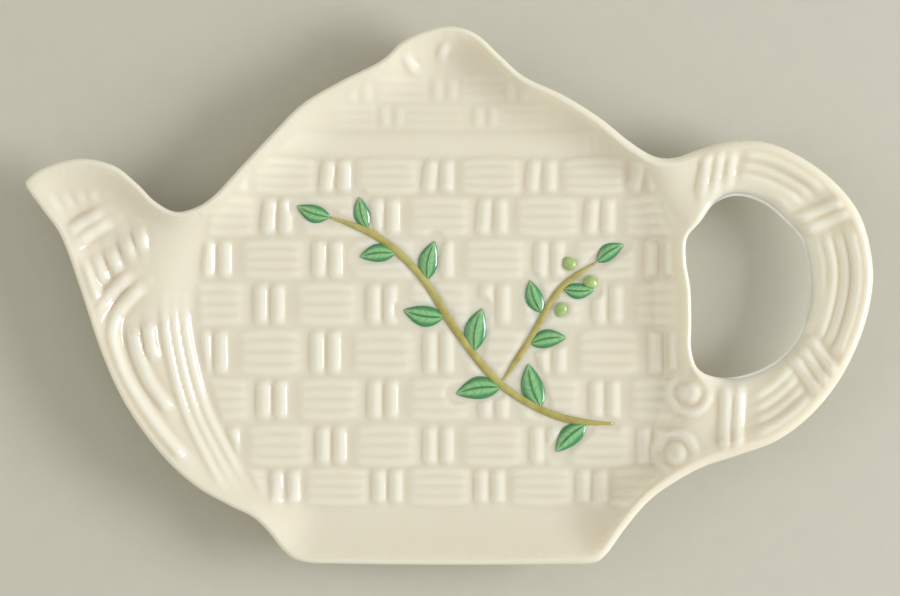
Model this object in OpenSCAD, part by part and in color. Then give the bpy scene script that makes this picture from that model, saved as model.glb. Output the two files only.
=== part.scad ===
// Tea bag rest: a shallow glazed tray in the shape of a teapot seen from the side.
// The tray lies flat. X runs from spout to handle, Y from the foot band to the knob, Z up.

/* [Tray] */
// Overall length, spout tip to the handle's outer edge.
tray_l = 140; // [110:1:180]
// Overall width, foot band to knob.
tray_w = 89; // [70:1:115]
// Height of the rim above the table.
rim_h = 9.5; // [8.5:0.5:12]
// Thickness of the clay.
wall_t = 2.8; // [2:0.1:3.4]
// Half the width of the rounded rim.
lip_r = 0.7; // [0.5:0.1:1]
// Height of the plain upright face below the rounded rim.
lip_side = 0.5; // [0.3:0.1:0.8]

/* [Foot ring] */
// Height of the foot ring.
foot_h = 1.8; // [1.2:0.1:2.6]
// Width of the foot ring.
foot_w = 2.2; // [1.6:0.1:3.5]
// How far the foot ring stands in from the foot of the walls.
foot_inset = 1; // [0.5:0.1:3]

/* [Spout and handle] */
// Height of the spout's trough above the table.
trough_h = 8; // [7:0.1:8.2]
// Height of the handle's band above the table.
band_h = 8.5; // [7.4:0.1:8.6]
// Width of the slope from the floor up to the spout.
spout_slope = 6.5; // [4:0.5:8]
// Width of the slope from the floor up to the handle.
handle_slope = 7.5; // [5:0.5:10]
// Width of the slope up to the raised edge beside the handle's hole.
hole_slope = 4.2; // [3:0.1:6]
// Width of the soft rounding on the handle's inner edge.
soft_w = 2.2; // [1:0.1:3]
// Drop of that rounding.
soft_drop = 1; // [0.5:0.1:1.4]

/* [Basket relief] */
// How far the relief stands up from the clay.
weave_rise = 0.55; // [0.3:0.05:0.9]
// Width of one lying withy.
withy_w = 1.6; // [1.2:0.05:1.8]
// Distance between the lying withies of a pad.
withy_pitch = 1.75; // [1.6:0.05:2]
// Length of the lying withies.
withy_l = 9.4; // [7:0.1:10]
// Width of one upright withy.
stake_w = 2.1; // [1.4:0.1:2.4]
// Distance between the two upright withies of a pair.
stake_pitch = 2.8; // [2.5:0.1:3.4]
// Length of the upright withies.
stake_l = 6.4; // [4:0.1:7]
// Withies in each pad.
pad_withies = 4; // [3:1:4]
// How far each relief piece is sunk into the clay that carries it.
bite = 0.12; // [0.08:0.01:0.2]

/* [Mouldings] */
// Rise of the smooth band at the edge of the lid.
band_rise = 0.35; // [0.2:0.05:0.6]
// Width of that band.
band_w = 3.8; // [2.5:0.1:4.5]
// Width of the ribs on the collar at the spout.
collar_w = 1.5; // [1:0.1:1.8]
// Distance between the collar's ribs.
collar_pitch = 1.6; // [1.4:0.05:1.8]
// Width of the long ribs on the spout.
spout_rib_w = 1.6; // [1:0.1:1.8]
// Width of the wrapped ribs on spout and handle.
wrap_w = 1.8; // [1.2:0.1:1.9]
// Distance between the ribs of a wrapping.
wrap_pitch = 2; // [1.9:0.1:2.6]
// Width of the long ribs on the handle.
handle_rib_w = 1.7; // [1.2:0.05:1.8]
// Distance between the handle's long ribs.
handle_rib_pitch = 1.9; // [1.85:0.05:2.1]
// Radius of the scrolls at the handle's lower root.
scroll_r = 2.7; // [2:0.1:3.2]
// Width of a scroll's ridge.
scroll_w = 1.7; // [1:0.1:2]
// Width of the curls on the knob.
curl_w = 1.5; // [1:0.1:2]

/* [Vine] */
// Width of the vine's stem.
stem_w = 1.3; // [0.8:0.1:1.8]
// Rise of the stem.
stem_rise = 0.35; // [0.2:0.05:0.6]
// Length of the largest leaf.
leaf_l = 7.4; // [5:0.1:9]
// Width of the largest leaf.
leaf_w = 3.7; // [2.4:0.1:4.5]
// Rise of a leaf at its middle.
leaf_rise = 0.6; // [0.4:0.05:0.9]
// Thickness of a leaf at its tip.
leaf_edge = 0.15; // [0.1:0.05:0.3]
// Width of a leaf's middle rib.
leaf_rib_w = 0.6; // [0.4:0.05:0.9]
// Rise of that rib above the leaf.
leaf_rib_rise = 0.12; // [0.08:0.01:0.2]
// Radius of a bud.
bud_r = 1.05; // [0.7:0.05:1.4]
// Free clay kept between the vine and the withies.
vine_clear = 0.5; // [0.3:0.1:2]

/* [Resolution] */
// Steps for each span of the outline.
outline_steps = 4; // [3:1:5]
// Facets of small round pieces.
round_fn = 48; // [32:8:96]

/* [Hidden] */
$fn = round_fn;
// Facets of pieces with a wide radius.
wide_fn = 4 * round_fn;

glaze = [0.88, 0.85, 0.77];
relief_glaze = [0.85, 0.82, 0.73];
band_glaze = [0.82, 0.78, 0.69];
biscuit = [0.72, 0.68, 0.6];
leaf_green = [0.45, 0.72, 0.48];
rib_green = [0.25, 0.52, 0.34];
stem_olive = [0.69, 0.65, 0.35];

// The teapot's outline, as shares of the tray's length and width, from the top of the
// knob round by the lid, the notch, the spout, the foot and the handle.
outline_shares = [
    [0.001, 0.5], [-0.029, 0.491], [-0.057, 0.47], [-0.082, 0.435], [-0.129, 0.398],
    [-0.174, 0.356], [-0.209, 0.302], [-0.247, 0.239], [-0.28, 0.184], [-0.304, 0.161],
    [-0.327, 0.156], [-0.35, 0.176], [-0.369, 0.206], [-0.398, 0.241], [-0.438, 0.254],
    [-0.477, 0.239], [-0.497, 0.219], [-0.501, 0.202], [-0.483, 0.161], [-0.459, 0.106],
    [-0.436, 0.006], [-0.412, -0.107], [-0.383, -0.205], [-0.341, -0.296], [-0.3, -0.355],
    [-0.261, -0.39], [-0.233, -0.412], [-0.214, -0.44], [-0.196, -0.475], [-0.175, -0.494],
    [-0.129, -0.498], [0.001, -0.5], [0.13, -0.499], [0.168, -0.497], [0.185, -0.481],
    [0.206, -0.436], [0.234, -0.384], [0.266, -0.347], [0.301, -0.318], [0.343, -0.296],
    [0.387, -0.27], [0.427, -0.223], [0.46, -0.16], [0.484, -0.086], [0.498, -0.009],
    [0.5, 0.062], [0.486, 0.147], [0.455, 0.211], [0.413, 0.259], [0.372, 0.285],
    [0.331, 0.286], [0.295, 0.271], [0.267, 0.256], [0.242, 0.258], [0.213, 0.285],
    [0.177, 0.33], [0.134, 0.372], [0.088, 0.406], [0.06, 0.444], [0.031, 0.485]
];
// The handle's hole, from its upper corner beside the body, down and round.
hole_shares = [
    [0.281, 0.106], [0.28, 0.062], [0.285, 0.01], [0.286, -0.055], [0.286, -0.101],
    [0.295, -0.138], [0.321, -0.153], [0.354, -0.146], [0.386, -0.122], [0.41, -0.081],
    [0.423, -0.027], [0.426, 0.032], [0.418, 0.097], [0.398, 0.136], [0.371, 0.171],
    [0.34, 0.185], [0.314, 0.171], [0.297, 0.137]
];
// The line where spout and body meet, from the low end up to the notch.
seam_shares = [
    [-0.261, -0.39], [-0.291, -0.309], [-0.318, -0.222], [-0.335, -0.129],
    [-0.344, -0.037], [-0.341, 0.056], [-0.327, 0.156]
];
// The point that the body's mesh radiates from.
body_middle_share = [-0.005, -0.046];

// Places on the outline where its pieces meet: numbers of points in the table above.
notch_at = 10;
mouth_at = 14;
low_end_at = 25;
handle_low_at = 37;
handle_top_at = 53;
hole_low_at = 5;

// Width of the sloping wall as a share of the tray's width, by angle about the middle.
slope_shares = [
    [-180, 0.034], [-174, 0.036], [-165, 0.05], [-155, 0.064], [-146, 0.074], [-139, 0.079],
    [-128, 0.09], [-120, 0.1], [-62, 0.1], [-55, 0.095], [-42, 0.09], [-35, 0.056],
    [-28, 0.038], [28, 0.038], [38, 0.045], [52, 0.076], [64, 0.079], [78, 0.073],
    [90, 0.067], [102, 0.073], [114, 0.079], [143, 0.073], [152, 0.058], [157, 0.048],
    [162, 0.04], [168, 0.034], [180, 0.034]
];

floor_h = foot_h + wall_t;
// Shape of the wall between rim and floor.
rim_power = 1.5;
wall_power = 2;
under_power = 1.5;

// Distances in from an edge, as shares of lip_r, where the mesh has a line of points.
edge_station_shares = [0, 0.28, 1, 1.8, 2.8, 4.2];
// The same for the bowl: on its rounded rim, and on the wall below as shares of the wall's width.
rim_station_shares = [0, 0.28, 1];
wall_station_shares = [0.13, 0.27, 0.42, 0.57, 0.72, 0.86, 1, 1.25];
under_station_shares = [0, 0.1, 0.24, 0.42, 0.62, 0.82, 1, 1.2];

function mix(a, b, t) = a + (b - a) * t;
function clamp(v) = min(1, max(0, v));
function ease(v) = let (t = clamp(v)) t * t * (3 - 2 * t);
function unit(v) = v / norm(v);
function side_of(v) = [-v[1], v[0]];
function total(v, i = 0, sum = 0) = i < len(v) ? total(v, i + 1, sum + v[i]) : sum;
function smoothed(points, times) =
    let (n = len(points))
    times == 0
    ? points
    : smoothed([for (i = [0:n - 1])
        (points[(i + n - 1) % n] + points[i] + points[(i + 1) % n]) / 3], times - 1);
function flat(lists) = [for (l = lists) for (v = l) v];
function but_last(list) = [for (i = [0:len(list) - 2]) list[i]];
function reversed(list) = [for (i = [len(list) - 1:-1:0]) list[i]];

// A smooth curve through four points at t, which runs between the middle two.
function curve(a, b, c, d, t) =
    0.5 * (2 * b + (c - a) * t + (2 * a - 5 * b + 4 * c - d) * t * t + (3 * b - a - 3 * c + d) * t * t * t);
function loop(points, steps) =
    let (n = len(points))
    [for (i = [0:n - 1]) for (k = [0:steps - 1])
        curve(points[(i + n - 1) % n], points[i], points[(i + 1) % n], points[(i + 2) % n], k / steps)];
function thread(points, steps) =
    let (n = len(points))
    [for (i = [0:n - 2]) for (k = [0:(i == n - 2 ? steps : steps - 1)])
        curve(points[max(0, i - 1)], points[i], points[i + 1], points[min(n - 1, i + 2)], k / steps)];
function slice(points, from, to) = [for (i = [from:to]) points[i % len(points)]];

raw = loop(outline_shares, outline_steps);
raw_low = [min([for (p = raw) p[0]]), min([for (p = raw) p[1]])];
raw_high = [max([for (p = raw) p[0]]), max([for (p = raw) p[1]])];
raw_mid = (raw_low + raw_high) / 2;
raw_span = raw_high - raw_low;
// Places given as shares, in the part's own frame: the outline just fills its length and width.
function at(share) =
    [(share[0] - raw_mid[0]) * tray_l / raw_span[0], (share[1] - raw_mid[1]) * tray_w / raw_span[1]];
function all_at(shares) = [for (s = shares) at(s)];

rim = all_at(raw);
hole = loop(all_at(hole_shares), outline_steps);
seam = thread(all_at(seam_shares), outline_steps);
middle = at(body_middle_share);
function rim_part(from, to) = slice(rim, from * outline_steps, to * outline_steps);
function hole_part(from, to) = slice(hole, from * outline_steps, to * outline_steps);

// The body's side of spout and handle, as X by Y, for the slopes that rise to them.
seam_line = [for (p = seam) [p[1], p[0]]];
root_points = concat([at(outline_shares[handle_low_at])], reversed(hole_part(0, hole_low_at)),
    [at(outline_shares[handle_top_at])]);
root_line = [for (p = root_points) [p[1], p[0]]];

function segment_gap(p, a, b) =
    let (d = b - a, t = clamp((p - a) * d / (d * d)))
    norm(p - a - d * t);
function loop_gap(p, points) =
    let (n = len(points))
    min([for (i = [0:n - 1]) segment_gap(p, points[i], points[(i + 1) % n])]);
function thread_gap(p, points) =
    min([for (i = [0:len(points) - 2]) segment_gap(p, points[i], points[i + 1])]);

function slope_w(p) = tray_w * lookup(atan2(p[1] - middle[1], p[0] - middle[0]), slope_shares);
// Height of the clay away from its edges: floor, trough or band, with slopes between.
function base_z(p) =
    floor_h
    + (trough_h - floor_h) * ease(1 - (p[0] - lookup(p[1], seam_line)) / spout_slope)
    + (band_h - floor_h) * ease(1 - (lookup(p[1], root_line) - p[0]) / handle_slope);
function dome(t) = 1 - sqrt(max(0, 1 - t * t));
// Height of the wall at a gap from an edge, above the clay at its foot.
function wall_z(gap, base, width) =
    gap < lip_r
    ? rim_h - base - lip_r * dome(1 - gap / lip_r)
    : (rim_h - base) * pow(1 - pow(clamp((gap - lip_r) / (width - lip_r)), rim_power), wall_power);
// The raised edge at the hole fades out from the body to the handle.
hole_fade_share = 0.288;
hole_fade_end_share = 0.33;
hole_fade = at([hole_fade_share, 0])[0];
hole_fade_end = at([hole_fade_end_share, 0])[0];
function hole_lip(p) = ease((hole_fade_end - p[0]) / (hole_fade_end - hole_fade));
// No place further from the handle than this share of the length is near the hole's edge.
hole_near_share = 0.125;
hole_near = hole_fade_end - tray_l * hole_near_share;
function hole_gap(p) = p[0] < hole_near ? tray_l : loop_gap(p, hole);

function top_z(p) =
    let (base = base_z(p), gap = loop_gap(p, rim), inner = hole_gap(p), lip = hole_lip(p))
    base
    + wall_z(gap, base, slope_w(p))
    + lip * wall_z(inner, base, hole_slope)
    - (1 - lip) * soft_drop * dome(clamp(1 - inner / soft_w));
soft_under_share = 0.6;
function under_z(p) =
    let (base = base_z(p) - wall_t, side = rim_h - lip_r - lip_side - base)
    let (gap = loop_gap(p, rim), inner = hole_gap(p), lip = hole_lip(p))
    base
    + side * pow(clamp(1 - gap / slope_w(p)), under_power)
    + lip * side * pow(clamp(1 - inner / hole_slope), under_power)
    + (1 - lip) * soft_drop * soft_under_share * dome(clamp(1 - inner / soft_w));

// Distances along a line of this length, close together near its ends.
end_room_share = 0.7;
function stations(length, between) =
    let (last = edge_station_shares[len(edge_station_shares) - 1] * lip_r)
    let (fit = min(1, end_room_share * length / (2 * last)))
    let (ends = [for (s = edge_station_shares) s * lip_r * fit])
    concat(ends, [for (k = [1:between - 1]) mix(last * fit, length - last * fit, k / between)],
        [for (e = reversed(ends)) length - e]);
function length_of(points) =
    total([for (i = [0:len(points) - 2]) norm(points[i + 1] - points[i])]);
// The point at a distance along a thread of points.
function along(points, s, i = 0) =
    let (step = norm(points[i + 1] - points[i]))
    s <= step || i == len(points) - 2
    ? mix(points[i], points[i + 1], s / step)
    : along(points, s - step, i + 1);
function respaced(points, between) = [for (s = stations(length_of(points), between)) along(points, s)];
function row(a, b, between) = respaced([a, b], between);

// A slab of clay over a grid of places, from the underside to the top.
module slab(grid) {
    m = len(grid);
    n = len(grid[0]);
    points = concat([for (r = grid) for (p = r) [p[0], p[1], top_z(p)]],
        [for (r = grid) for (p = r) [p[0], p[1], under_z(p)]]);
    low = m * n;
    quads = flat([for (i = [0:m - 2]) for (j = [0:n - 2])
        [[i * n + j, i * n + j + 1, (i + 1) * n + j + 1, (i + 1) * n + j]]]);
    edge = concat([for (j = [0:n - 1]) j], [for (i = [1:m - 1]) i * n + n - 1],
        [for (j = [n - 2:-1:0]) (m - 1) * n + j], [for (i = [m - 2:-1:1]) i * n]);
    e = len(edge);
    faces = concat(
        flat([for (q = quads) [[q[0], q[2], q[1]], [q[0], q[3], q[2]]]]),
        flat([for (q = quads)
            [[low + q[0], low + q[1], low + q[2]], [low + q[0], low + q[2], low + q[3]]]]),
        flat([for (k = [0:e - 1])
            let (a = edge[k], b = edge[(k + 1) % e])
            [[a, b, low + b], [a, low + b, low + a]]]));
    polyhedron(points, faces);
}

// The body's edge, all the way round.
chord_between = 3;
seam_between = 15;
handle_low = at(outline_shares[handle_low_at]);
handle_top = at(outline_shares[handle_top_at]);
hole_low = at(hole_shares[hole_low_at]);
hole_top = at(hole_shares[0]);
seam_row = respaced(seam, seam_between);
low_chord = row(handle_low, hole_low, chord_between);
top_chord = row(hole_top, handle_top, chord_between);
body_edge = concat(
    but_last(rim_part(handle_top_at, len(outline_shares) + notch_at)),
    but_last(reversed(seam_row)),
    but_last(rim_part(low_end_at, handle_low_at)),
    but_last(low_chord),
    but_last(reversed(hole_part(0, hole_low_at))),
    but_last(top_chord));
body_n = len(body_edge);
// How much longer a ray's path across the wall is than the wall's own width.
least_crossing = 0.5;
function ray_stretch(i) =
    let (ray = unit(middle - body_edge[i]))
    let (run = unit(body_edge[(i + 1) % body_n] - body_edge[(i + body_n - 1) % body_n]))
    1 / max(least_crossing, abs(cross(run, ray)));
edge_smoothing = 4;
stretches = smoothed([for (i = [0:body_n - 1]) ray_stretch(i)], edge_smoothing);
function ray_point(i, depth) =
    body_edge[i] + unit(middle - body_edge[i]) * depth * stretches[i];
// How far in the slopes reach: the wall's own, or the longer one to spout or handle.
reach_share = 1.2;
reach_rise_share = 0.25;
function reach(p) =
    max(slope_w(p), mix(slope_w(p), max(spout_slope, handle_slope) * reach_share,
        ease((base_z(p) - floor_h) / (wall_t * reach_rise_share))));
reaches = smoothed([for (p = body_edge) reach(p)], edge_smoothing);

module bowl() {
    top_rings = concat(
        [for (s = rim_station_shares) [s * lip_r, 0]],
        [for (s = wall_station_shares) [max(0, 1 - s) * lip_r, s]]);
    under_rings = [for (s = under_station_shares) [0, s]];
    top = [for (r = top_rings) [for (i = [0:body_n - 1]) ray_point(i, r[0] + r[1] * reaches[i])]];
    under = [for (r = under_rings) [for (i = [0:body_n - 1]) ray_point(i, r[0] + r[1] * reaches[i])]];
    a = len(top);
    b = len(under);
    points = concat(
        [for (r = top) for (p = r) [p[0], p[1], top_z(p)]],
        [for (r = under) for (p = r) [p[0], p[1], under_z(p)]],
        [[middle[0], middle[1], floor_h], [middle[0], middle[1], foot_h]]);
    low = a * body_n;
    hub = (a + b) * body_n;
    faces = concat(
        flat([for (k = [0:a - 2]) for (i = [0:body_n - 1])
            let (j = (i + 1) % body_n, u = k * body_n, v = u + body_n)
            [[u + i, v + j, u + j], [u + i, v + i, v + j]]]),
        [for (i = [0:body_n - 1]) [(a - 1) * body_n + i, hub, (a - 1) * body_n + (i + 1) % body_n]],
        flat([for (k = [0:b - 2]) for (i = [0:body_n - 1])
            let (j = (i + 1) % body_n, u = low + k * body_n, v = u + body_n)
            [[u + i, u + j, v + j], [u + i, v + j, v + i]]]),
        [for (i = [0:body_n - 1])
            let (last = low + (b - 1) * body_n)
            [last + i, last + (i + 1) % body_n, hub + 1]],
        flat([for (i = [0:body_n - 1])
            let (j = (i + 1) % body_n)
            [[i, j, low + j], [i, low + j, low + i]]]));
    color(glaze) polyhedron(points, faces);
}

foot_smoothing = 12;
module foot_ring() {
    function ring_at(inset) = smoothed([for (i = [0:2:body_n - 1])
        ray_point(i, reaches[i] + foot_inset + inset)], foot_smoothing);
    color(biscuit)
    linear_extrude(foot_h)
    difference() {
        polygon(ring_at(0));
        polygon(ring_at(foot_w));
    }
}

// Rows across the spout join places on its left edge to places on its right edge, from the
// top of the mouth to the low end. Rows start where both edges turn: tip, notch and end.
tip_i = [for (i = [0:len(raw) - 1]) if (raw[i][0] == raw_low[0]) i][0];
tip_mate_at = 12;
shoulder_at = 19;
mouth_rows = 9;
neck_rows = 6;
spout_rows = 24;
spout_between = 4;
mouth_power = 1.7;
spout_end_share = 0.975;
function run(points, from, to, rows) =
    let (l = length_of(points))
    [for (k = [from:to]) along(points, l * k / rows)];
module spout() {
    mouth_left = slice(rim, mouth_at * outline_steps, tip_i);
    mouth_right = reversed(rim_part(tip_mate_at, mouth_at));
    steps = [for (k = [1:mouth_rows]) pow(k / mouth_rows, mouth_power)];
    trough_left = rim_part(shoulder_at, low_end_at);
    trough_right = reversed(seam);
    left = concat(
        [for (t = steps) along(mouth_left, t * length_of(mouth_left))],
        run(slice(rim, tip_i, shoulder_at * outline_steps), 1, neck_rows, neck_rows),
        run(trough_left, 1, spout_rows - 1, spout_rows),
        [along(trough_left, spout_end_share * length_of(trough_left))]);
    right = concat(
        [for (t = steps) along(mouth_right, t * length_of(mouth_right))],
        run(reversed(rim_part(notch_at, tip_mate_at)), 1, neck_rows, neck_rows),
        run(trough_right, 1, spout_rows - 1, spout_rows),
        [along(trough_right, spout_end_share * length_of(trough_right))]);
    color(glaze) slab([for (i = [0:len(left) - 1]) row(left[i], right[i], spout_between)]);
}

handle_rows = 46;
module handle() {
    outer = rim_part(handle_low_at, handle_top_at);
    inner = hole_part(hole_low_at, len(hole_shares));
    ol = length_of(outer);
    il = length_of(inner);
    color(glaze)
    slab([for (k = [0:handle_rows])
        row(along(outer, ol * k / handle_rows), along(inner, il * k / handle_rows), chord_between)]);
}

// Relief pieces. A ridge follows a path over the clay, with a rounded top and thin ends.
ridge_taper_share = 0.28;
ridge_end_share = 0.5;
ridge_side_share = 0.55;
ridge_side_rise_share = 0.72;
keel_share = 1.35;
// Straight stretches of a short ridge, and the stretches tried when one is cut to its room.
ridge_parts = 4;
trial_parts = 12;
module ridge(path, width, rise, sink = bite) {
    n = len(path);
    l = length_of(path);
    taper = max(l * ridge_taper_share / 2, width / 2);
    runs = [for (i = [0:n - 1]) i == 0 ? 0 : length_of([for (k = [0:i]) path[k]])];
    fade = [for (r = runs) ease(min(r, l - r) / taper)];
    lane = [for (i = [0:n - 1])
        side_of(unit(path[min(n - 1, i + 1)] - path[max(0, i - 1)])) * width / 2
            * mix(ridge_end_share, 1, fade[i])];
    places = flat([for (i = [0:n - 1]) [
        [path[i] + lane[i], -sink],
        [path[i] + lane[i] * ridge_side_share, rise * ridge_side_rise_share * fade[i]],
        [path[i], rise * fade[i]],
        [path[i] - lane[i] * ridge_side_share, rise * ridge_side_rise_share * fade[i]],
        [path[i] - lane[i], -sink],
        [path[i], -sink * keel_share]]]);
    points = [for (p = places) [p[0][0], p[0][1], top_z(p[0]) + p[1]]];
    c = 6;
    faces = concat(
        flat([for (i = [0:n - 2]) for (k = [0:c - 1])
            let (a = i * c + k, b = i * c + (k + 1) % c)
            [[a, b, b + c], [a, b + c, a + c]]]),
        [[for (k = [c - 1:-1:0]) k]],
        [[for (k = [0:c - 1]) (n - 1) * c + k]]);
    polyhedron(points, faces);
}
function even(points, n) = let (l = length_of(points)) [for (k = [0:n]) along(points, l * k / n)];
function bend(points, n) = even(thread(points, outline_steps), n);

// The share of the bite that is left where a piece is only just sunk.
thin_share = 0.25;

// The part of a path that keeps off the rim and off the hole's edge.
rim_room = 2.5;
hole_room = 1.1;
function on_clay(path) = [for (p = path) if (loop_gap(p, rim) > rim_room) if (hole_gap(p) > hole_room) p];

// A straight withy on the flat floor: a rounded bar on a wide arc, cut off by the floor.
module withy(length, width, rise) {
    arch = pow(length / 2, 2) / (2 * rise) + rise / 2;
    round = pow(width / 2, 2) / (2 * rise) + rise / 2;
    intersection() {
        translate([-length / 2, -width, -bite]) cube([length, 2 * width, rise + 2 * bite]);
        translate([0, 0, rise - arch])
            rotate([90, 0, 0])
                rotate_extrude($fn = wide_fn)
                    translate([arch - round, 0])
                        circle(round, $fn = round_fn);
    }
}

// Basket weave: rows of lying pads and upright pairs that change places from row to row.
row_shares = [0.2216, 0.1466, 0.0671, -0.0162, -0.1059, -0.1938, -0.2798, -0.3557];
row_height_shares = [0.88, 0.96, 0.97, 1.05, 1.12, 1.02, 1.02, 0.92];
weave_x_share = -0.0136;
period_share = 0.134;
bulge_share = 0.0125;
bulge_y_share = -0.062;
bulge_reach_share = 0.287;
columns = 5;
function period(r) =
    tray_l * (period_share - bulge_share * pow((row_shares[r] - bulge_y_share) / bulge_reach_share, 2));
// A withy as [place, angle, length, width].
function cell(r, j) =
    let (middle_x = at([weave_x_share, 0])[0] + j * period(r) / 2, y = at([0, row_shares[r]])[1])
    (r + abs(j)) % 2 == 0
    ? [for (side = [-1, 1])
        [[middle_x + side * stake_pitch / 2, y], 90, stake_l * row_height_shares[r], stake_w]]
    : [for (k = [0:pad_withies - 1])
        [[middle_x, y + (k - (pad_withies - 1) / 2) * withy_pitch * row_height_shares[r]], 0,
            withy_l, withy_w * min(1, row_height_shares[r])]];
cells = flat([for (r = [0:len(row_shares) - 1]) [for (j = [-columns:columns]) cell(r, j)]]);
function ends_of(w) =
    let (half = [cos(w[1]), sin(w[1])] * w[2] / 2)
    [w[0] - half, w[0], w[0] + half];

// The vine: a stem from the lower right, a twig, and leaves on alternate sides.
stem_shares = [[0.195, -0.24], [0.13, -0.227], [0.06, -0.166], [0.0065, -0.064],
    [-0.035, 0.037], [-0.088, 0.111], [-0.147, 0.148]];
twig_shares = [[0.06, -0.166], [0.095, -0.083], [0.13, 0.01], [0.177, 0.065]];
stem_parts = 30;
twig_parts = 16;
stem = bend(all_at(stem_shares), stem_parts);
twig = bend(all_at(twig_shares), twig_parts);
// Leaves as [share along, side, size share].
stem_leaf_shares = [[0.07, 1, 0.9], [0.2, -1, 1], [0.32, 1, 1], [0.44, -1, 0.97], [0.56, 1, 0.93],
    [0.67, -1, 0.88], [0.78, 1, 0.8], [0.88, -1, 0.72], [0.99, 0, 0.78]];
twig_leaf_shares = [[0.3, -1, 0.82], [0.5, 1, 0.78], [0.7, -1, 0.7], [0.985, 0, 0.72]];
// Buds as [share along, side], each on its own side of the twig.
bud_shares = [[0.84, 1], [0.6, -1], [0.88, -1]];
leaf_angle = 48;
leaf_start_share = 0.45;
bud_off = 2.1;
function leaf_on(path, at_share) =
    let (l = length_of(path), s = at_share[0] * l, p = along(path, s))
    let (run = unit(along(path, min(l, s + stem_w)) - along(path, max(0, s - stem_w))))
    let (angle = atan2(run[1], run[0]) + at_share[1] * leaf_angle, size = at_share[2])
    let (start = p + [cos(angle), sin(angle)] * stem_w * leaf_start_share * abs(at_share[1]))
    [start, angle, size];
leaves = concat([for (s = stem_leaf_shares) leaf_on(stem, s)], [for (s = twig_leaf_shares) leaf_on(twig, s)]);
function bud_on(path, at_share) =
    let (l = length_of(path), s = at_share[0] * l)
    let (run = unit(along(path, min(l, s + stem_w)) - along(path, max(0, s - stem_w))))
    along(path, s) + side_of(run) * at_share[1] * bud_off;
buds = [for (s = bud_shares) bud_on(twig, s)];
function vine_gap(p) =
    min(concat(
        [thread_gap(p, stem) - stem_w / 2, thread_gap(p, twig) - stem_w / 2],
        [for (b = buds) norm(p - b) - bud_r],
        [for (f = leaves) segment_gap(p, f[0], f[0] + [cos(f[1]), sin(f[1])] * leaf_l * f[2])
            - leaf_w * f[2] / 2]));
function free_of_vine(w) =
    min([for (p = even(ends_of(w), ridge_parts)) vine_gap(p)]) > w[3] / 2 + vine_clear;

// A withy lies flat where its whole length is on the level floor, and runs up a wall where not.
wall_room = 3.2;
collar_room = 6.2;
root_room = 2.4;
function room(p) =
    min(loop_gap(p, rim) - wall_room,
        p[0] - lookup(p[1], seam_line) - collar_room,
        lookup(p[1], root_line) - p[0] - root_room);
function level(w) =
    min([for (p = ends_of(w))
        min(loop_gap(p, rim) - slope_w(p), floor_h + bite * thin_share - base_z(p))]) >= 0;
// The part of a withy that has room, as a path.
function fitted(w) =
    let (path = even(ends_of(w), trial_parts))
    [for (p = path) if (room(p) > 0) p];
fitted_share = 0.55;
function free_ones(c) = [for (w = c) if (room(w[0]) > 0) if (free_of_vine(w)) w];
free_withies = flat([for (c = cells) let (f = free_ones(c)) if (len(f) > 1) f]);
level_withies = [for (w = free_withies) if (level(w)) w];
wall_withies = [for (w = free_withies)
    if (!level(w)) let (path = fitted(w))
        if (len(path) > ridge_parts) if (length_of(path) > fitted_share * w[2]) [path, w[3], w[1]]];

module laid(angle) {
    for (w = level_withies)
        if (w[1] == angle)
            translate([w[0][0], w[0][1], floor_h])
                rotate(w[1])
                    withy(w[2], w[3], weave_rise);
}
module on_wall(angle) {
    for (w = wall_withies)
        if (w[2] == angle)
            ridge(even(w[0], ridge_parts), w[1], weave_rise);
}
module floor_weavers() {
    color(relief_glaze) laid(0);
}
module floor_stakes() {
    color(relief_glaze) laid(90);
}
module wall_weavers() {
    color(relief_glaze) on_wall(0);
}
module wall_stakes() {
    color(relief_glaze) on_wall(90);
}

// The lid's own, softer weave: pads as [place, length share] and pairs as places.
lid_rise_share = 0.8;
lid_pad_shares = [[-0.058, 0.383, 0.84], [0.039, 0.383, 0.76], [-0.113, 0.331, 0.72],
    [-0.02, 0.331, 0.98], [0.084, 0.331, 0.8]];
lid_pair_shares = [[-0.107, 0.375], [-0.0065, 0.383], [0.079, 0.38], [-0.069, 0.331], [0.042, 0.331]];
lid_withies = 2;
lid_pitch_share = 1.05;
lid_stake_share = 0.55;
module lid_weavers() {
    color(relief_glaze)
        for (s = lid_pad_shares)
            for (k = [0:lid_withies - 1])
                let (off = (k - (lid_withies - 1) / 2) * withy_pitch * lid_pitch_share)
                ridge(even(ends_of([at(s) + [0, off], 0, withy_l * s[2]]), ridge_parts),
                    withy_w, weave_rise * lid_rise_share);
}
module lid_stakes() {
    color(relief_glaze)
        for (s = lid_pair_shares)
            for (k = [-0.5, 0.5])
                ridge(even(on_clay(even(ends_of([at(s) + [k * stake_pitch * lid_rise_share, 0], 90,
                    stake_l * lid_stake_share]), trial_parts)), ridge_parts),
                    stake_w * lid_rise_share, weave_rise * lid_rise_share);
}

// The smooth band at the lid's edge.
lid_band_shares = [[-0.226, 0.281], [-0.11, 0.279], [0.001, 0.279], [0.11, 0.279], [0.19, 0.283]];
band_end_share = 0.85;
band_trials = 40;
band_parts = 18;
module lid_band() {
    path = [for (p = bend(all_at(lid_band_shares), band_trials))
        if (loop_gap(p, rim) > slope_w(p) * band_end_share) p];
    color(band_glaze) ridge(even(path, band_parts), band_w, band_rise, bite * thin_share);
}

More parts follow.
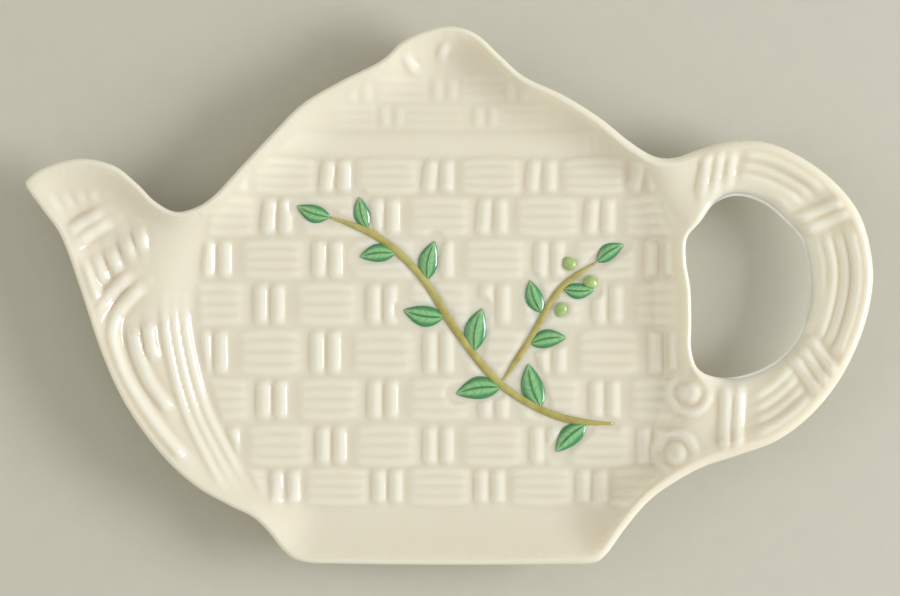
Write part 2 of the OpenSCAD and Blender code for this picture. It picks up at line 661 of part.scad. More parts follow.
// Ribs of the collar, side by side along the seam.
collar_ribs_n = 3;
collar_parts = 16;
collar_start_share = 0.07;
collar_end_share = 0.9;
module collar_ribs() {
    l = length_of(seam);
    color(relief_glaze)
        for (k = [0:collar_ribs_n - 1])
            ridge([for (i = [0:collar_parts])
                let (s = l * mix(collar_start_share, collar_end_share, i / collar_parts), p = along(seam, s))
                let (run = unit(along(seam, min(l, s + collar_w)) - along(seam, max(0, s - collar_w))))
                p - side_of(run) * (collar_w / 2 + bite + k * collar_pitch)], collar_w, weave_rise);
}

// Ribs of the spout: in the mouth, along the trough and wrapped round it.
mouth_rib_shares = [
    [[-0.48, 0.193], [-0.468, 0.17], [-0.457, 0.149]],
    [[-0.464, 0.197], [-0.454, 0.176], [-0.444, 0.15]],
    [[-0.447, 0.2], [-0.439, 0.182], [-0.431, 0.16]],
    [[-0.43, 0.202], [-0.424, 0.186], [-0.418, 0.168]]
];
spout_withy_shares = [
    [[-0.429, 0.073], [-0.419, 0.028], [-0.407, -0.022]],
    [[-0.416, 0.083], [-0.409, 0.048], [-0.4, 0.013]],
    [[-0.4, 0.094], [-0.392, 0.06], [-0.385, 0.033]],
    [[-0.382, 0.118], [-0.376, 0.09], [-0.371, 0.057]],
    [[-0.366, 0.132], [-0.361, 0.104], [-0.36, 0.07]],
    [[-0.391, -0.07], [-0.383, -0.13], [-0.365, -0.19], [-0.337, -0.25], [-0.305, -0.308]],
    [[-0.374, -0.054], [-0.366, -0.11], [-0.349, -0.165], [-0.322, -0.22]],
    [[-0.359, -0.04], [-0.354, -0.085], [-0.347, -0.13]]
];
spout_wrap_shares = [
    [[-0.449, 0.108], [-0.43, 0.133], [-0.4, 0.157]],
    [[-0.44, 0.091], [-0.42, 0.118], [-0.392, 0.142]],
    [[-0.412, -0.043], [-0.395, 0.006], [-0.368, 0.045]],
    [[-0.398, -0.055], [-0.381, -0.016], [-0.355, 0.025]]
];
// The mouth's ribs are this much lower, and the spout's wrapped ribs this much narrower.
spout_rib_share = 0.9;
mouth_parts = 5;
spout_parts = 9;
module mouth_ribs() {
    color(relief_glaze)
        for (s = mouth_rib_shares)
            ridge(bend(all_at(s), mouth_parts), spout_rib_w, weave_rise * spout_rib_share);
}
module spout_withies() {
    color(relief_glaze)
        for (s = spout_withy_shares)
            ridge(bend(all_at(s), spout_parts), spout_rib_w, weave_rise);
}
module spout_wraps() {
    color(relief_glaze)
        for (s = spout_wrap_shares)
            ridge(bend(all_at(s), spout_parts), wrap_w * spout_rib_share, weave_rise);
}

// Ribs of the handle: groups of long ribs between wrappings, as shares of its run.
handle_group_shares = [[0.15, 0.25], [0.36, 0.585], [0.69, 0.83]];
handle_wrap_at_shares = [0.1, 0.305, 0.632, 0.885];
handle_wrap_counts = [2, 3, 2, 3];
handle_ribs_n = 4;
handle_parts = 8;
wrap_parts = 6;
first_rib_gap = 3;
wrap_start_share = 0.24;
wrap_end_share = 0.9;
handle_outer = rim_part(handle_low_at, handle_top_at);
handle_inner = hole_part(hole_low_at, len(hole_shares));
handle_outer_l = length_of(handle_outer);
handle_inner_l = length_of(handle_inner);
function handle_place(t, gap) =
    let (a = along(handle_outer, t * handle_outer_l), b = along(handle_inner, t * handle_inner_l))
    a + unit(b - a) * gap;
function handle_width(t) =
    norm(along(handle_outer, t * handle_outer_l) - along(handle_inner, t * handle_inner_l));
module handle_withies() {
    color(relief_glaze)
        for (g = handle_group_shares)
            for (k = [0:handle_ribs_n - 1])
                ridge([for (i = [0:handle_parts])
                    handle_place(mix(g[0], g[1], i / handle_parts), first_rib_gap + k * handle_rib_pitch)],
                    handle_rib_w, weave_rise);
}
// Each wrapping's ribs lie side by side, across the handle at its own place.
module handle_wraps() {
    color(relief_glaze)
        for (w = [0:len(handle_wrap_at_shares) - 1])
            for (k = [0:handle_wrap_counts[w] - 1]) {
                t = handle_wrap_at_shares[w];
                width = handle_width(t);
                a = handle_place(t, width * wrap_start_share);
                b = handle_place(t, width * wrap_end_share);
                shift = side_of(unit(b - a)) * (k - (handle_wrap_counts[w] - 1) / 2) * wrap_pitch;
                ridge(even(on_clay([for (i = [0:trial_parts]) mix(a, b, i / trial_parts) + shift]),
                    wrap_parts),
                    wrap_w, weave_rise);
            }
}

// Two scrolls at the handle's lower root and the curls on the knob.
scroll_shares = [[0.2835, -0.182], [0.266, -0.292]];
scroll_starts = [100, -20];
scroll_turn = 290;
scroll_trials = 28;
scroll_parts = 14;
module scroll_curls() {
    color(relief_glaze)
        for (k = [0:len(scroll_shares) - 1])
            ridge(even(on_clay([for (i = [0:scroll_trials])
                let (turn = scroll_starts[k] + scroll_turn * i / scroll_trials)
                at(scroll_shares[k]) + scroll_r * [cos(turn), sin(turn)]]), scroll_parts),
                scroll_w, weave_rise);
}
knob_shares = [
    [[-0.053, 0.452], [-0.047, 0.43], [-0.036, 0.41]],
    [[0.002, 0.47], [-0.009, 0.452], [-0.01, 0.43]]
];
module knob_curls() {
    color(relief_glaze)
        for (s = knob_shares)
            ridge(bend(all_at(s), wrap_parts), curl_w, weave_rise * lid_rise_share);
}

// The painted vine.
module vine_stem() {
    color(stem_olive) ridge(stem, stem_w, stem_rise);
}
twig_start = 1;
twig_w_share = 0.8;
module vine_twig() {
    color(stem_olive) ridge([for (i = [twig_start:len(twig) - 1]) twig[i]], stem_w * twig_w_share, stem_rise);
}
// Radius of the ball whose top gives a leaf its swell.
function swell_r(length) = pow(length / 2, 2) / (2 * (leaf_rise - leaf_edge));
module leaf(length, width) {
    side_r = (pow(length, 2) + pow(width, 2)) / (4 * width);
    off = side_r - width / 2;
    high = leaf_rise + 2 * bite;
    intersection() {
        translate([length / 2, off, -bite]) cylinder(h = high, r = side_r, $fn = wide_fn);
        translate([length / 2, -off, -bite]) cylinder(h = high, r = side_r, $fn = wide_fn);
        translate([length / 2, 0, leaf_rise - swell_r(length)]) sphere(swell_r(length), $fn = wide_fn);
    }
}
module vine_leaves() {
    color(leaf_green)
        for (f = leaves)
            translate([f[0][0], f[0][1], floor_h]) rotate(f[1]) leaf(leaf_l * f[2], leaf_w * f[2]);
}
leaf_rib_share = 0.8;
module leaf_ribs() {
    color(rib_green)
        for (f = leaves) {
            l = leaf_l * f[2];
            ball = swell_r(l);
            crest = ball + leaf_rib_rise;
            round = leaf_rib_w / 2;
            translate([f[0][0], f[0][1], floor_h])
                rotate(f[1])
                    translate([l / 2, 0, leaf_rise - ball])
                        difference() {
                            intersection() {
                                rotate([90, 0, 0])
                                    rotate_extrude($fn = wide_fn)
                                        translate([crest - round, 0])
                                            circle(round, $fn = round_fn);
                                translate([-l * leaf_rib_share / 2, -leaf_rib_w, 0])
                                    cube([l * leaf_rib_share, 2 * leaf_rib_w, 2 * crest]);
                            }
                            sphere(ball - bite * thin_share, $fn = wide_fn);
                        }
        }
}
bud_rise_share = 0.75;
module vine_buds() {
    color(leaf_green)
        for (b = buds)
            translate([b[0], b[1], floor_h])
                intersection() {
                    translate([0, 0, bud_r * (bud_rise_share - 1)]) sphere(bud_r);
                    translate([-bud_r, -bud_r, -bite]) cube([2 * bud_r, 2 * bud_r, 2 * bud_r]);
                }
}

bowl();
foot_ring();
spout();
handle();
lid_band();
floor_weavers();
floor_stakes();
wall_weavers();
wall_stakes();
lid_weavers();
lid_stakes();
collar_ribs();
mouth_ribs();
spout_withies();
spout_wraps();
handle_withies();
handle_wraps();
scroll_curls();
knob_curls();
vine_stem();
vine_twig();
vine_leaves();
leaf_ribs();
vine_buds();
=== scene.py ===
# %% [markdown]
# # A teapot-shaped tea bag rest in glazed porcelain
# The real object is one slip-cast tray: a shaped floor and wall, a spout, a pierced handle and a
# moulded basket weave under one shiny, warm white glaze, with a leafy sprig in enamels on it.
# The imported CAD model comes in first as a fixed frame. It says where everything lies, in metres,
# and this script only dresses it.

# %% Load the frame
import math

import bmesh
import bpy
import numpy as np
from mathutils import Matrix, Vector


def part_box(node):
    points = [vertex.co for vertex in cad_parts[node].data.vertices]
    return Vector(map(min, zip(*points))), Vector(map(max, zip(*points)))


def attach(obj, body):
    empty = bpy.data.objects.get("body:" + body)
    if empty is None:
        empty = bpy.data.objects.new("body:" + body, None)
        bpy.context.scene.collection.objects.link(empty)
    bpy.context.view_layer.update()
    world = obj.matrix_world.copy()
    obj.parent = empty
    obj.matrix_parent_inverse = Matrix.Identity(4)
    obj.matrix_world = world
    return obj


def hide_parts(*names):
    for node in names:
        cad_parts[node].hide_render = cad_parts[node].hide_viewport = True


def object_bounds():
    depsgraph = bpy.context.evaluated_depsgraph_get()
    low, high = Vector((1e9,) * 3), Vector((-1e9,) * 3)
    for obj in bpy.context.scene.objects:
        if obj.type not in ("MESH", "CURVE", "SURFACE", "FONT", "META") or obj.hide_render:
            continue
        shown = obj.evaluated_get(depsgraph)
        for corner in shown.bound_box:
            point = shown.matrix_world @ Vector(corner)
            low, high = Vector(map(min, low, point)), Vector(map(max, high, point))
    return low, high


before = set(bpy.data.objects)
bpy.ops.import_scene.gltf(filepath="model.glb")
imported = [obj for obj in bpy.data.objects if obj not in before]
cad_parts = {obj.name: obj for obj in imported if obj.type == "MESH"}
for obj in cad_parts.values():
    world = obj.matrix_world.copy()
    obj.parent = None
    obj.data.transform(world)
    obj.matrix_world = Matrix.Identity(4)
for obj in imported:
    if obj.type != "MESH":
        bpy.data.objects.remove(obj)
cad_box = [list(corner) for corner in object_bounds()]
mm = 0.001
print("nodes:", len(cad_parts), "box in mm:", [[round(v / mm, 1) for v in c] for c in cad_box])

# %% [markdown]
# ## Driving sizes
# The tray's length, width and height are read from the frame, so the dressed piece can't drift
# from the CAD. The rest are the few sizes that a potter's drawing would give: how thick the clay
# is, how round the rim, how high the spout's trough and the handle's band stand above the table,
# and how wide the slopes are that lead up to them.

# %% Sizes from the frame, and the potter's sizes
tray_l = cad_box[1][0] - cad_box[0][0]
tray_w = cad_box[1][1] - cad_box[0][1]
rim_h = cad_box[1][2]
foot_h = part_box("foot_ring")[1][2]
wall_t = 2.8 * mm
lip_r = 0.7 * mm
lip_side = 0.5 * mm
wide_lip_x = 0.38 * tray_l
wide_lip_w = 1.6 * mm
wide_lip_drop = 1.2 * mm
trough_h = 8.0 * mm
band_h = 8.5 * mm
spout_slope = 6.5 * mm
spout_slope_high = 12 * mm
spout_slope_low_y = -6 * mm
spout_slope_turn = 16 * mm
handle_slope = 7.5 * mm
hole_slope = 3.6 * mm
hole_rise_share = 0.6
handle_thinner = 1.1 * mm
soft_w = 3.0 * mm
soft_drop = 1.3 * mm
dish_depth = 1.3 * mm
floor_h = foot_h + wall_t
print("tray %.1f x %.1f x %.1f mm" % (tray_l / mm, tray_w / mm, rim_h / mm))

# %% [markdown]
# ## The outline
# A teapot's outline has no simple formula, so it is a short list of places, given as shares of the
# tray's length and width. A smooth curve runs through them. The handle's hole and the seam between
# spout and body are made in the same way. The last three numbers say at which places of the lists
# the handle begins and ends.

# %% Places on the outline, the hole and the seam
outline_shares = [
    (.001, .5), (-.029, .491), (-.057, .47), (-.082, .435), (-.129, .398), (-.174, .356),
    (-.209, .302), (-.247, .239), (-.28, .184), (-.304, .161), (-.327, .156), (-.35, .176),
    (-.369, .206), (-.398, .241), (-.438, .254), (-.477, .239), (-.497, .219), (-.501, .202),
    (-.483, .161), (-.459, .106), (-.436, .006), (-.412, -.107), (-.383, -.205), (-.341, -.296),
    (-.3, -.355), (-.261, -.39), (-.233, -.412), (-.214, -.44), (-.196, -.475), (-.175, -.494),
    (-.129, -.498), (.001, -.5), (.13, -.499), (.168, -.497), (.185, -.481), (.206, -.436),
    (.234, -.384), (.266, -.347), (.301, -.318), (.343, -.296), (.387, -.27), (.427, -.223),
    (.46, -.16), (.484, -.086), (.498, -.009), (.5, .062), (.486, .147), (.455, .211), (.413, .259),
    (.372, .285), (.331, .286), (.295, .271), (.267, .256), (.242, .258), (.213, .285), (.177, .33),
    (.134, .372), (.088, .406), (.06, .444), (.031, .485),
]
hole_shares = [
    (.281, .106), (.28, .062), (.285, .01), (.286, -.055), (.286, -.101), (.295, -.138),
    (.321, -.153), (.354, -.146), (.386, -.122), (.41, -.081), (.423, -.027), (.426, .032),
    (.418, .097), (.398, .136), (.371, .171), (.34, .185), (.314, .171), (.297, .137),
]
seam_shares = [
    (-.261, -.39), (-.291, -.309), (-.318, -.222), (-.335, -.129), (-.344, -.037), (-.341, .056),
    (-.327, .156),
]
handle_low_at = 37
handle_top_at = 53
hole_low_at = 5
print("places:", len(outline_shares), "on the outline,", len(hole_shares), "on the hole")

# %% [markdown]
# A smooth curve between two places is worked out from these two and one more on each side, so it
# passes through every place and has no corners. Later cells need places at equal distances, too.

# %% Curves through the places
def curve(a, b, c, d, t):
    """The smooth curve between b and c, at t from 0 to 1."""
    return 0.5 * (2 * b + (c - a) * t + (2 * a - 5 * b + 4 * c - d) * t**2 + (3 * b - a - 3 * c + d) * t**3)


def closed_curve(points, steps):
    """A closed smooth curve through the points."""
    n = len(points)
    return np.array([curve(points[i - 1], points[i], points[(i + 1) % n], points[(i + 2) % n], k / steps)
                     for i in range(n) for k in range(steps)])


def open_curve(points, steps):
    """An open smooth curve through the points."""
    p = np.vstack([points[:1], points, points[-1:]])
    laid = [curve(p[i], p[i + 1], p[i + 2], p[i + 3], k / steps)
            for i in range(len(points) - 1) for k in range(steps)]
    return np.array(laid + [points[-1]])


def runs_along(points):
    """How far along a line each of its points lies."""
    return np.concatenate([[0], np.cumsum(np.linalg.norm(np.diff(points, axis=0), axis=1))])


def respaced(points, n, closed=False):
    """n places at equal distances along the points."""
    if closed:
        points = np.vstack([points, points[:1]])
    runs = runs_along(points)
    wanted = np.linspace(0, runs[-1], n + 1)[:-1] if closed else np.linspace(0, runs[-1], n)
    return np.stack([np.interp(wanted, runs, points[:, k]) for k in (0, 1)], 1)


def length_of(points):
    """The length of a line of points."""
    return np.linalg.norm(np.diff(points, axis=0), axis=1).sum()


outline_steps = 12
raw = closed_curve(np.array(outline_shares), outline_steps)
raw_middle = (raw.min(0) + raw.max(0)) / 2
share_scale = np.array([tray_l, tray_w]) / (raw.max(0) - raw.min(0))


def at(shares):
    """Places in metres for shares of the tray's length and width."""
    return (np.array(shares, dtype=float) - raw_middle) * share_scale


rim_line = (raw - raw_middle) * share_scale
hole_line = closed_curve(at(hole_shares), outline_steps)
seam_line = open_curve(at(seam_shares), outline_steps)
root_line = np.vstack([at(outline_shares[handle_low_at])[None], hole_line[hole_low_at * outline_steps::-1],
                       at(outline_shares[handle_top_at])[None]])
print("outline %.0f mm round, hole %.0f mm" % (length_of(rim_line) / mm, length_of(hole_line) / mm))

# %% [markdown]
# ## One height function
# From above, every place on the tray has one height, so the clay is a function of x and y: a floor
# that dishes a little, slopes up to the spout's trough and the handle's band, and walls that climb
# to a round lip. The walls need to know how far a place is from the outline, so that comes first.

# %% Distances
batch = 3000


def gap_to(places, line, closed=True):
    """The distance from each place to a line of points, in batches to spare memory."""
    a = line if closed else line[:-1]
    b = np.roll(line, -1, 0) if closed else line[1:]
    dx, dy = (b - a).T
    long2 = np.maximum(dx**2 + dy**2, 1e-18)
    best = np.empty(len(places))
    for s in range(0, len(places), batch):
        px = places[s:s + batch, :1] - a[:, 0]
        py = places[s:s + batch, 1:] - a[:, 1]
        t = np.clip((px * dx + py * dy) / long2, 0, 1)
        best[s:s + batch] = np.sqrt(((px - t * dx)**2 + (py - t * dy)**2).min(1))
    return best


def inside(places, line):
    """True for each place inside a closed line."""
    a, b = line, np.roll(line, -1, 0)
    odd = np.zeros(len(places), bool)
    for s in range(0, len(places), batch):
        x, y = places[s:s + batch, :1], places[s:s + batch, 1:]
        spans = (a[:, 1] > y) != (b[:, 1] > y)
        with np.errstate(divide="ignore", invalid="ignore"):
            crossing = a[:, 0] + (y - a[:, 1]) * (b[:, 0] - a[:, 0]) / (b[:, 1] - a[:, 1])
        odd[s:s + batch] = (spans & (x < crossing)).sum(1) % 2 == 1
    return odd


def ease(v):
    """A soft step from 0 to 1."""
    t = np.clip(v, 0, 1)
    return t * t * (3 - 2 * t)


def dome(t):
    """How far a round edge has dropped at a share t of its radius."""
    return 1 - np.sqrt(np.maximum(0, 1 - np.clip(t, 0, 1)**2))


def x_on(line, y):
    """The x of a line that runs up or down, at each y."""
    order = np.argsort(line[:, 1], kind="stable")
    return np.interp(y, line[order, 1], line[order, 0])


print("the hole's first place lies %.1f mm inside the outline" % (gap_to(hole_line[:1], rim_line)[0] / mm))

# %% [markdown]
# The wall's slope isn't equally wide all round: at the lid and the foot it swells far into the
# tray, and at the spout and the handle it is steep. A list of angles round the middle says how wide
# it is at each. The floor itself slopes up to the spout and to the handle.

# %% Slopes
slope_angles = [-180, -174, -165, -155, -146, -139, -128, -120, -62, -55, -42, -35, -28, 28, 38, 52, 64, 78,
                90, 102, 114, 143, 152, 157, 162, 168, 180]
slope_shares = [.026, .028, .038, .056, .074, .079, .09, .1, .11, .11, .1, .056, .038, .038, .045, .08, .09,
                .08, .067, .073, .079, .073, .058, .044, .032, .026, .026]
middle = at((-0.005, -0.046))


def slope_w(p):
    """How wide the sloping wall is at each place."""
    angle = np.degrees(np.arctan2(p[:, 1] - middle[1], p[:, 0] - middle[0]))
    return tray_w * np.interp(angle, slope_angles, slope_shares)


def base_z(p):
    """Height of the clay away from its edges."""
    high_up = ease((p[:, 1] - spout_slope_low_y) / spout_slope_turn)
    slope = spout_slope + (spout_slope_high - spout_slope) * high_up
    to_spout = ease(1 - (p[:, 0] - x_on(seam_line, p[:, 1])) / slope)
    to_handle = ease(1 - (x_on(root_line, p[:, 1]) - p[:, 0]) / handle_slope)
    return floor_h + (trough_h - floor_h) * to_spout + (band_h - floor_h) * to_handle


sides = slope_w(middle + np.array([(-tray_l / 3, 0), (0, -tray_w / 3)]))
print("wall slope: %.1f mm wide at the left, %.1f mm at the foot" % tuple(sides / mm))

# %% [markdown]
# A wall climbs over its slope and ends in a round lip, which grows wider toward the handle. The
# hole's edge is a raised lip beside the body, and fades to a plain round on the handle.

# %% Edges
hole_fade = at((0.288, 0))[0]
hole_fade_end = at((0.33, 0))[0]
hole_reach = 0.125 * tray_l


def lip_size(x):
    """How wide and how deep the rim's round is: it grows from the middle to the handle."""
    share = ease(x / wide_lip_x)
    return lip_r + (wide_lip_w - lip_r) * share, lip_r + (wide_lip_drop - lip_r) * share


def wall_z(gap, climb, width, lip_w=lip_r, lip_drop=lip_r):
    """Height of a wall above the clay at its foot. It climbs so far over its width, and its top is round."""
    round_part = climb - lip_drop * dome(1 - gap / lip_w)
    down = np.clip((gap - lip_w) / (width - lip_w), 0, 1)
    sloping = climb * (1 - down**1.2)**1.7
    return np.where(gap < lip_w, round_part, sloping)


def hole_lip(x):
    """How much of a raised lip the hole's edge is, from 1 at the body to 0 on the handle."""
    return ease((hole_fade_end - x) / (hole_fade_end - hole_fade))


def near_hole(p):
    """Distance to the hole's edge, and how much that edge is a raised lip there."""
    near = p[:, 0] >= hole_fade_end - hole_reach
    inner = np.full(len(p), tray_l)
    inner[near] = gap_to(p[near], hole_line)
    return inner, hole_lip(p[:, 0])


lip_ends = lip_size(np.array([rim_line[:, 0].min(), rim_line[:, 0].max()]))[0]
print("lip: %.1f mm wide at the spout, %.1f mm at the handle" % tuple(lip_ends / mm))

# %% [markdown]
# The top adds it all up: the sloping floor, a shallow dish, the wall, and the hole's edge. The
# underside follows it a wall's thickness below, and meets it in the lip's plain side.

# %% Top and underside
def top_z(p, gap=None, inner=None):
    """Height of the glazed surface, without its relief, for known distances to its edges."""
    gap = gap_to(p, rim_line) if gap is None else gap
    base = base_z(p)
    measured, lip = near_hole(p)
    inner = measured if inner is None else inner
    off = (p - middle) / (tray_l / 3, tray_w / 3)
    dish = dish_depth * np.clip((off**2).sum(1), 0, 1.2) * ease((floor_h + mm - base) / mm)
    climb = rim_h - base
    return (base + (dish - dish_depth / 2) * ease((gap - lip_r) / slope_w(p))
            + wall_z(gap, climb, slope_w(p), *lip_size(p[:, 0]))
            + lip * wall_z(inner, climb * hole_rise_share, hole_slope)
            - (1 - lip) * soft_drop * np.clip(1 - inner / soft_w, 0, 1)**2.2)


def under_z(p, gap=None):
    """Height of the underside."""
    gap = gap_to(p, rim_line) if gap is None else gap
    thick = wall_t - handle_thinner * ease((p[:, 0] - x_on(root_line, p[:, 1])) / handle_slope)
    base = base_z(p) - thick
    side = rim_h - lip_size(p[:, 0])[1] - lip_side - base
    inner, lip = near_hole(p)
    return (base + side * np.clip(1 - gap / slope_w(p), 0, 1)**1.5
            + lip * side * hole_rise_share * np.clip(1 - inner / hole_slope, 0, 1)**1.5
            + (1 - lip) * soft_drop * 0.3 * dome(1 - inner / soft_w))


print("floor %.1f mm, rim %.1f mm" % (top_z(middle[None])[0] / mm, rim_h / mm))

# %% [markdown]
# ## The sprig's layout
# The sprig is laid out before the weave, because the moulded withies die away where it lies. It has
# a stem, a side twig, leaves on alternate sides and three buds, in places that the CAD uses too.

# %% Lay out the sprig
stem_w = 1.3 * mm
leaf_l = 7.4 * mm
leaf_w = 3.7 * mm
bud_r = 1.05 * mm
bud_off = 2.1 * mm
leaf_angle = math.radians(48)
leaf_root = 0.45 * stem_w
stem_shares = [(.195, -.24), (.13, -.227), (.06, -.166), (.0065, -.064), (-.035, .037), (-.088, .111),
               (-.147, .148)]
twig_shares = [(.06, -.166), (.095, -.083), (.13, .01), (.177, .065)]
stem_leaves = [(.07, 1, .9), (.2, -1, 1), (.32, 1, 1), (.44, -1, .97), (.56, 1, .93), (.67, -1, .88),
               (.78, 1, .8), (.88, -1, .72), (.99, 0, .78)]
twig_leaves = [(.3, -1, .82), (.5, 1, .78), (.7, -1, .7), (.985, 0, .72)]
bud_places = [(.84, 1), (.6, -1), (.88, -1)]
stem_line = respaced(open_curve(at(stem_shares), 8), 61)
twig_line = respaced(open_curve(at(twig_shares), 8), 33)


def heading(angle):
    """A unit vector at an angle."""
    return np.array([math.cos(angle), math.sin(angle)])


def left_of(way):
    """A vector turned to its left."""
    return np.array([-way[1], way[0]])


def on_path(path, share):
    """The place and the direction at a share along a path."""
    k = share * (len(path) - 1)
    i = min(int(k), len(path) - 2)
    here = path[i] + (path[i + 1] - path[i]) * (k - i)
    run = path[min(i + 2, len(path) - 1)] - path[max(i - 1, 0)]
    return here, run / np.linalg.norm(run)


def leaf_on(path, share, side, size):
    """A leaf as (start, angle, size)."""
    here, run = on_path(path, share)
    angle = math.atan2(run[1], run[0]) + side * leaf_angle
    return here + heading(angle) * leaf_root * abs(side), angle, size


leaves = [leaf_on(stem_line, *s) for s in stem_leaves] + [leaf_on(twig_line, *s) for s in twig_leaves]
buds = []
for share, side in bud_places:
    here, run = on_path(twig_line, share)
    buds.append(here + left_of(run) * side * bud_off)


def sprig_gap(p):
    """How far each place is from the sprig's edge."""
    gap = np.minimum(gap_to(p, stem_line, False), gap_to(p, twig_line, False)) - stem_w / 2
    for start, angle, size in leaves:
        tip = start + heading(angle) * leaf_l * size
        gap = np.minimum(gap, gap_to(p, np.array([start, tip]), False) - leaf_w * size * 0.42)
    for b in buds:
        gap = np.minimum(gap, np.linalg.norm(p - b, axis=1) - bud_r)
    return gap


print("sprig:", len(leaves), "leaves,", len(buds), "buds, stem %.0f mm" % (length_of(stem_line) / mm))

# %% [markdown]
# ## The moulded relief
# Each rib is a path with a width and a rise. A place's relief is the highest rib over it: a soft
# round across the rib, and a fade at its ends. In the weave, pads of four lying withies alternate
# with pairs of upright stakes. Lying withies bow a little, as real ones do where they pass over a
# stake, and each pad lies on a low cushion of clay, so that the glaze rounds it as one.

# %% Weave ribs
weave_rise = 0.17 * mm
pad_rise = 0.16 * mm
stake_rise = 0.4 * mm
stake_rise_left = 0.51 * mm
withy_pitch = 1.85 * mm
withy_w = 1.95 * mm
withy_l = 10.7 * mm
stake_w = 2.6 * mm
stake_pitch = 2.85 * mm
stake_l = 6.9 * mm
row_shares = [0.2216, 0.1466, 0.0671, -0.0162, -0.1059, -0.1938, -0.2798, -0.3557]
row_heights = [.88, .96, .97, 1.05, 1.12, 1.02, 1.02, .92]
row_middle, row_reach = 0.062, 0.287
columns = 5
column_shares = (0.134, 0.0125)
column_middle = -0.0136
stake_lean = math.radians(7)
pad_end = 0.3 * mm
bow = 0.2
ribs = []
pads = []


def add_rib(path, width, rise, zone, ends=1.0):
    """Notes a rib. Zone says what it keeps off, and ends how long its fading ends are, in widths, or 0."""
    ribs.append((np.array(path, dtype=float), width, rise, zone, ends))


def straight(centre, angle, length, lean=0.0):
    """Three places of a straight rib."""
    way = heading(angle + lean) * length / 2
    return np.array([centre - way, centre, centre + way])


for r, y_share in enumerate(row_shares):
    period = tray_l * (column_shares[0] - column_shares[1] * ((y_share + row_middle) / row_reach)**2)
    for j in range(-columns, columns + 1):
        centre = at((column_middle, y_share)) + (j * period / 2, 0)
        if (r + abs(j)) % 2 == 0:
            lean = -stake_lean * max(0.0, y_share / 0.22)
            lift = stake_rise + (stake_rise_left - stake_rise) * ease(0.4 - 3.5 * centre[0] / tray_l)
            for k in (-0.5, 0.5):
                spot = centre + (k * stake_pitch, 0)
                add_rib(straight(spot, math.pi / 2, stake_l * row_heights[r], lean * (0.5 - k)), stake_w,
                        lift, "well", 0.5)
        else:
            pads.append((centre, withy_l / 2 + pad_end, (1.5 * withy_pitch + withy_w / 2) * row_heights[r]))
            for k in range(4):
                off = (k - 1.5) * withy_pitch * row_heights[r]
                path = [centre + (s * withy_l / 2, off * (1 - bow * s * s)) for s in np.linspace(-1, 1, 9)]
                add_rib(path, withy_w * min(1, row_heights[r]), weave_rise, "well", 0.8)
print("weave ribs:", len(ribs), "on", len(pads), "pads")

# %% Lid ribs
lid_pads = [(-.058, .383, .84), (.039, .383, .76), (-.113, .331, .72), (-.02, .331, .98), (.084, .331, .8)]
lid_pairs = [(-.107, .375), (-.0065, .383), (.079, .38), (-.069, .331), (.042, .331)]
lid_withy, lid_stake = 0.8, 0.85
band_rib = (4.6 * mm, 0.3 * mm)
for x, y, size in lid_pads:
    for k in range(3):
        centre = at((x, y)) + (0, (k - 1) * withy_pitch * lid_withy)
        add_rib(straight(centre, 0, withy_l * size), withy_w * lid_withy, weave_rise * 0.5, "lid", 0.7)
for x, y in lid_pairs:
    for k in (-0.5, 0.5):
        add_rib(straight(at((x, y)) + (k * stake_pitch * lid_stake, 0), math.pi / 2, stake_l * 0.62),
                stake_w * lid_stake, stake_rise * 0.4, "lid", 0.6)
lid_band = open_curve(at([(-.226, .281), (-.11, .279), (.001, .279), (.11, .279), (.19, .283)]), 8)
add_rib(lid_band, *band_rib, "lid")
print("with the lid's:", len(ribs), "ribs")

# %% [markdown]
# The spout's ribs are the most lively part of the relief: short ones at its mouth, a bundle that
# bends down along it, and wraps across them. Each is a smooth curve through three places or more.
# The knob's two curls are made in the same way.

# %% Spout and knob ribs
mouth_ribs = [
    [(-.48, .193), (-.468, .17), (-.457, .149)], [(-.464, .197), (-.454, .176), (-.444, .15)],
    [(-.447, .2), (-.439, .182), (-.431, .16)], [(-.43, .202), (-.424, .186), (-.418, .168)],
]
spout_withies = [
    [(-.429, .073), (-.419, .028), (-.407, -.022)], [(-.416, .083), (-.409, .048), (-.4, .013)],
    [(-.4, .094), (-.392, .06), (-.385, .033)], [(-.382, .118), (-.376, .09), (-.371, .057)],
    [(-.366, .132), (-.361, .104), (-.36, .07)],
    [(-.378, -.01), (-.39, -.04), (-.393, -.08), (-.384, -.135),
     (-.364, -.19), (-.337, -.25), (-.305, -.308)],
    [(-.37, -.05), (-.366, -.1), (-.349, -.165), (-.322, -.22)],
    [(-.352, -.04), (-.35, -.085), (-.343, -.13)],
]
spout_wraps = [
    [(-.449, .108), (-.43, .133), (-.4, .157)], [(-.44, .091), (-.42, .118), (-.392, .142)],
    [(-.412, -.043), (-.395, .006), (-.368, .045)], [(-.398, -.055), (-.381, -.016), (-.355, .025)],
]
knob_curls = [[(-.053, .452), (-.047, .43), (-.036, .41)], [(.002, .47), (-.009, .452), (-.01, .43)]]
spout_left = -0.7 * mm
for paths, width, rise, shift in ((mouth_ribs, 2.3 * mm, 0.26 * mm, 0),
                                  (spout_withies, 2.7 * mm, 0.8 * mm, spout_left),
                                  (spout_wraps, 3.0 * mm, 0.9 * mm, spout_left),
                                  (knob_curls, 2.1 * mm, 0.5 * mm, 0)):
    for shares in paths:
        add_rib(open_curve(at(shares), 6) + (shift, 0), width, rise, "clay")
print("with the spout's and the knob's:", len(ribs), "ribs")

# %% [markdown]
# The collar's three ribs run beside the seam, and the handle's follow its bend between the outline
# and the hole. So both are worked out from those lines, and need no places of their own. Each
# kind of rib has a width and a rise. Two curled ends, each round a low dome, close the handle's
# roots.

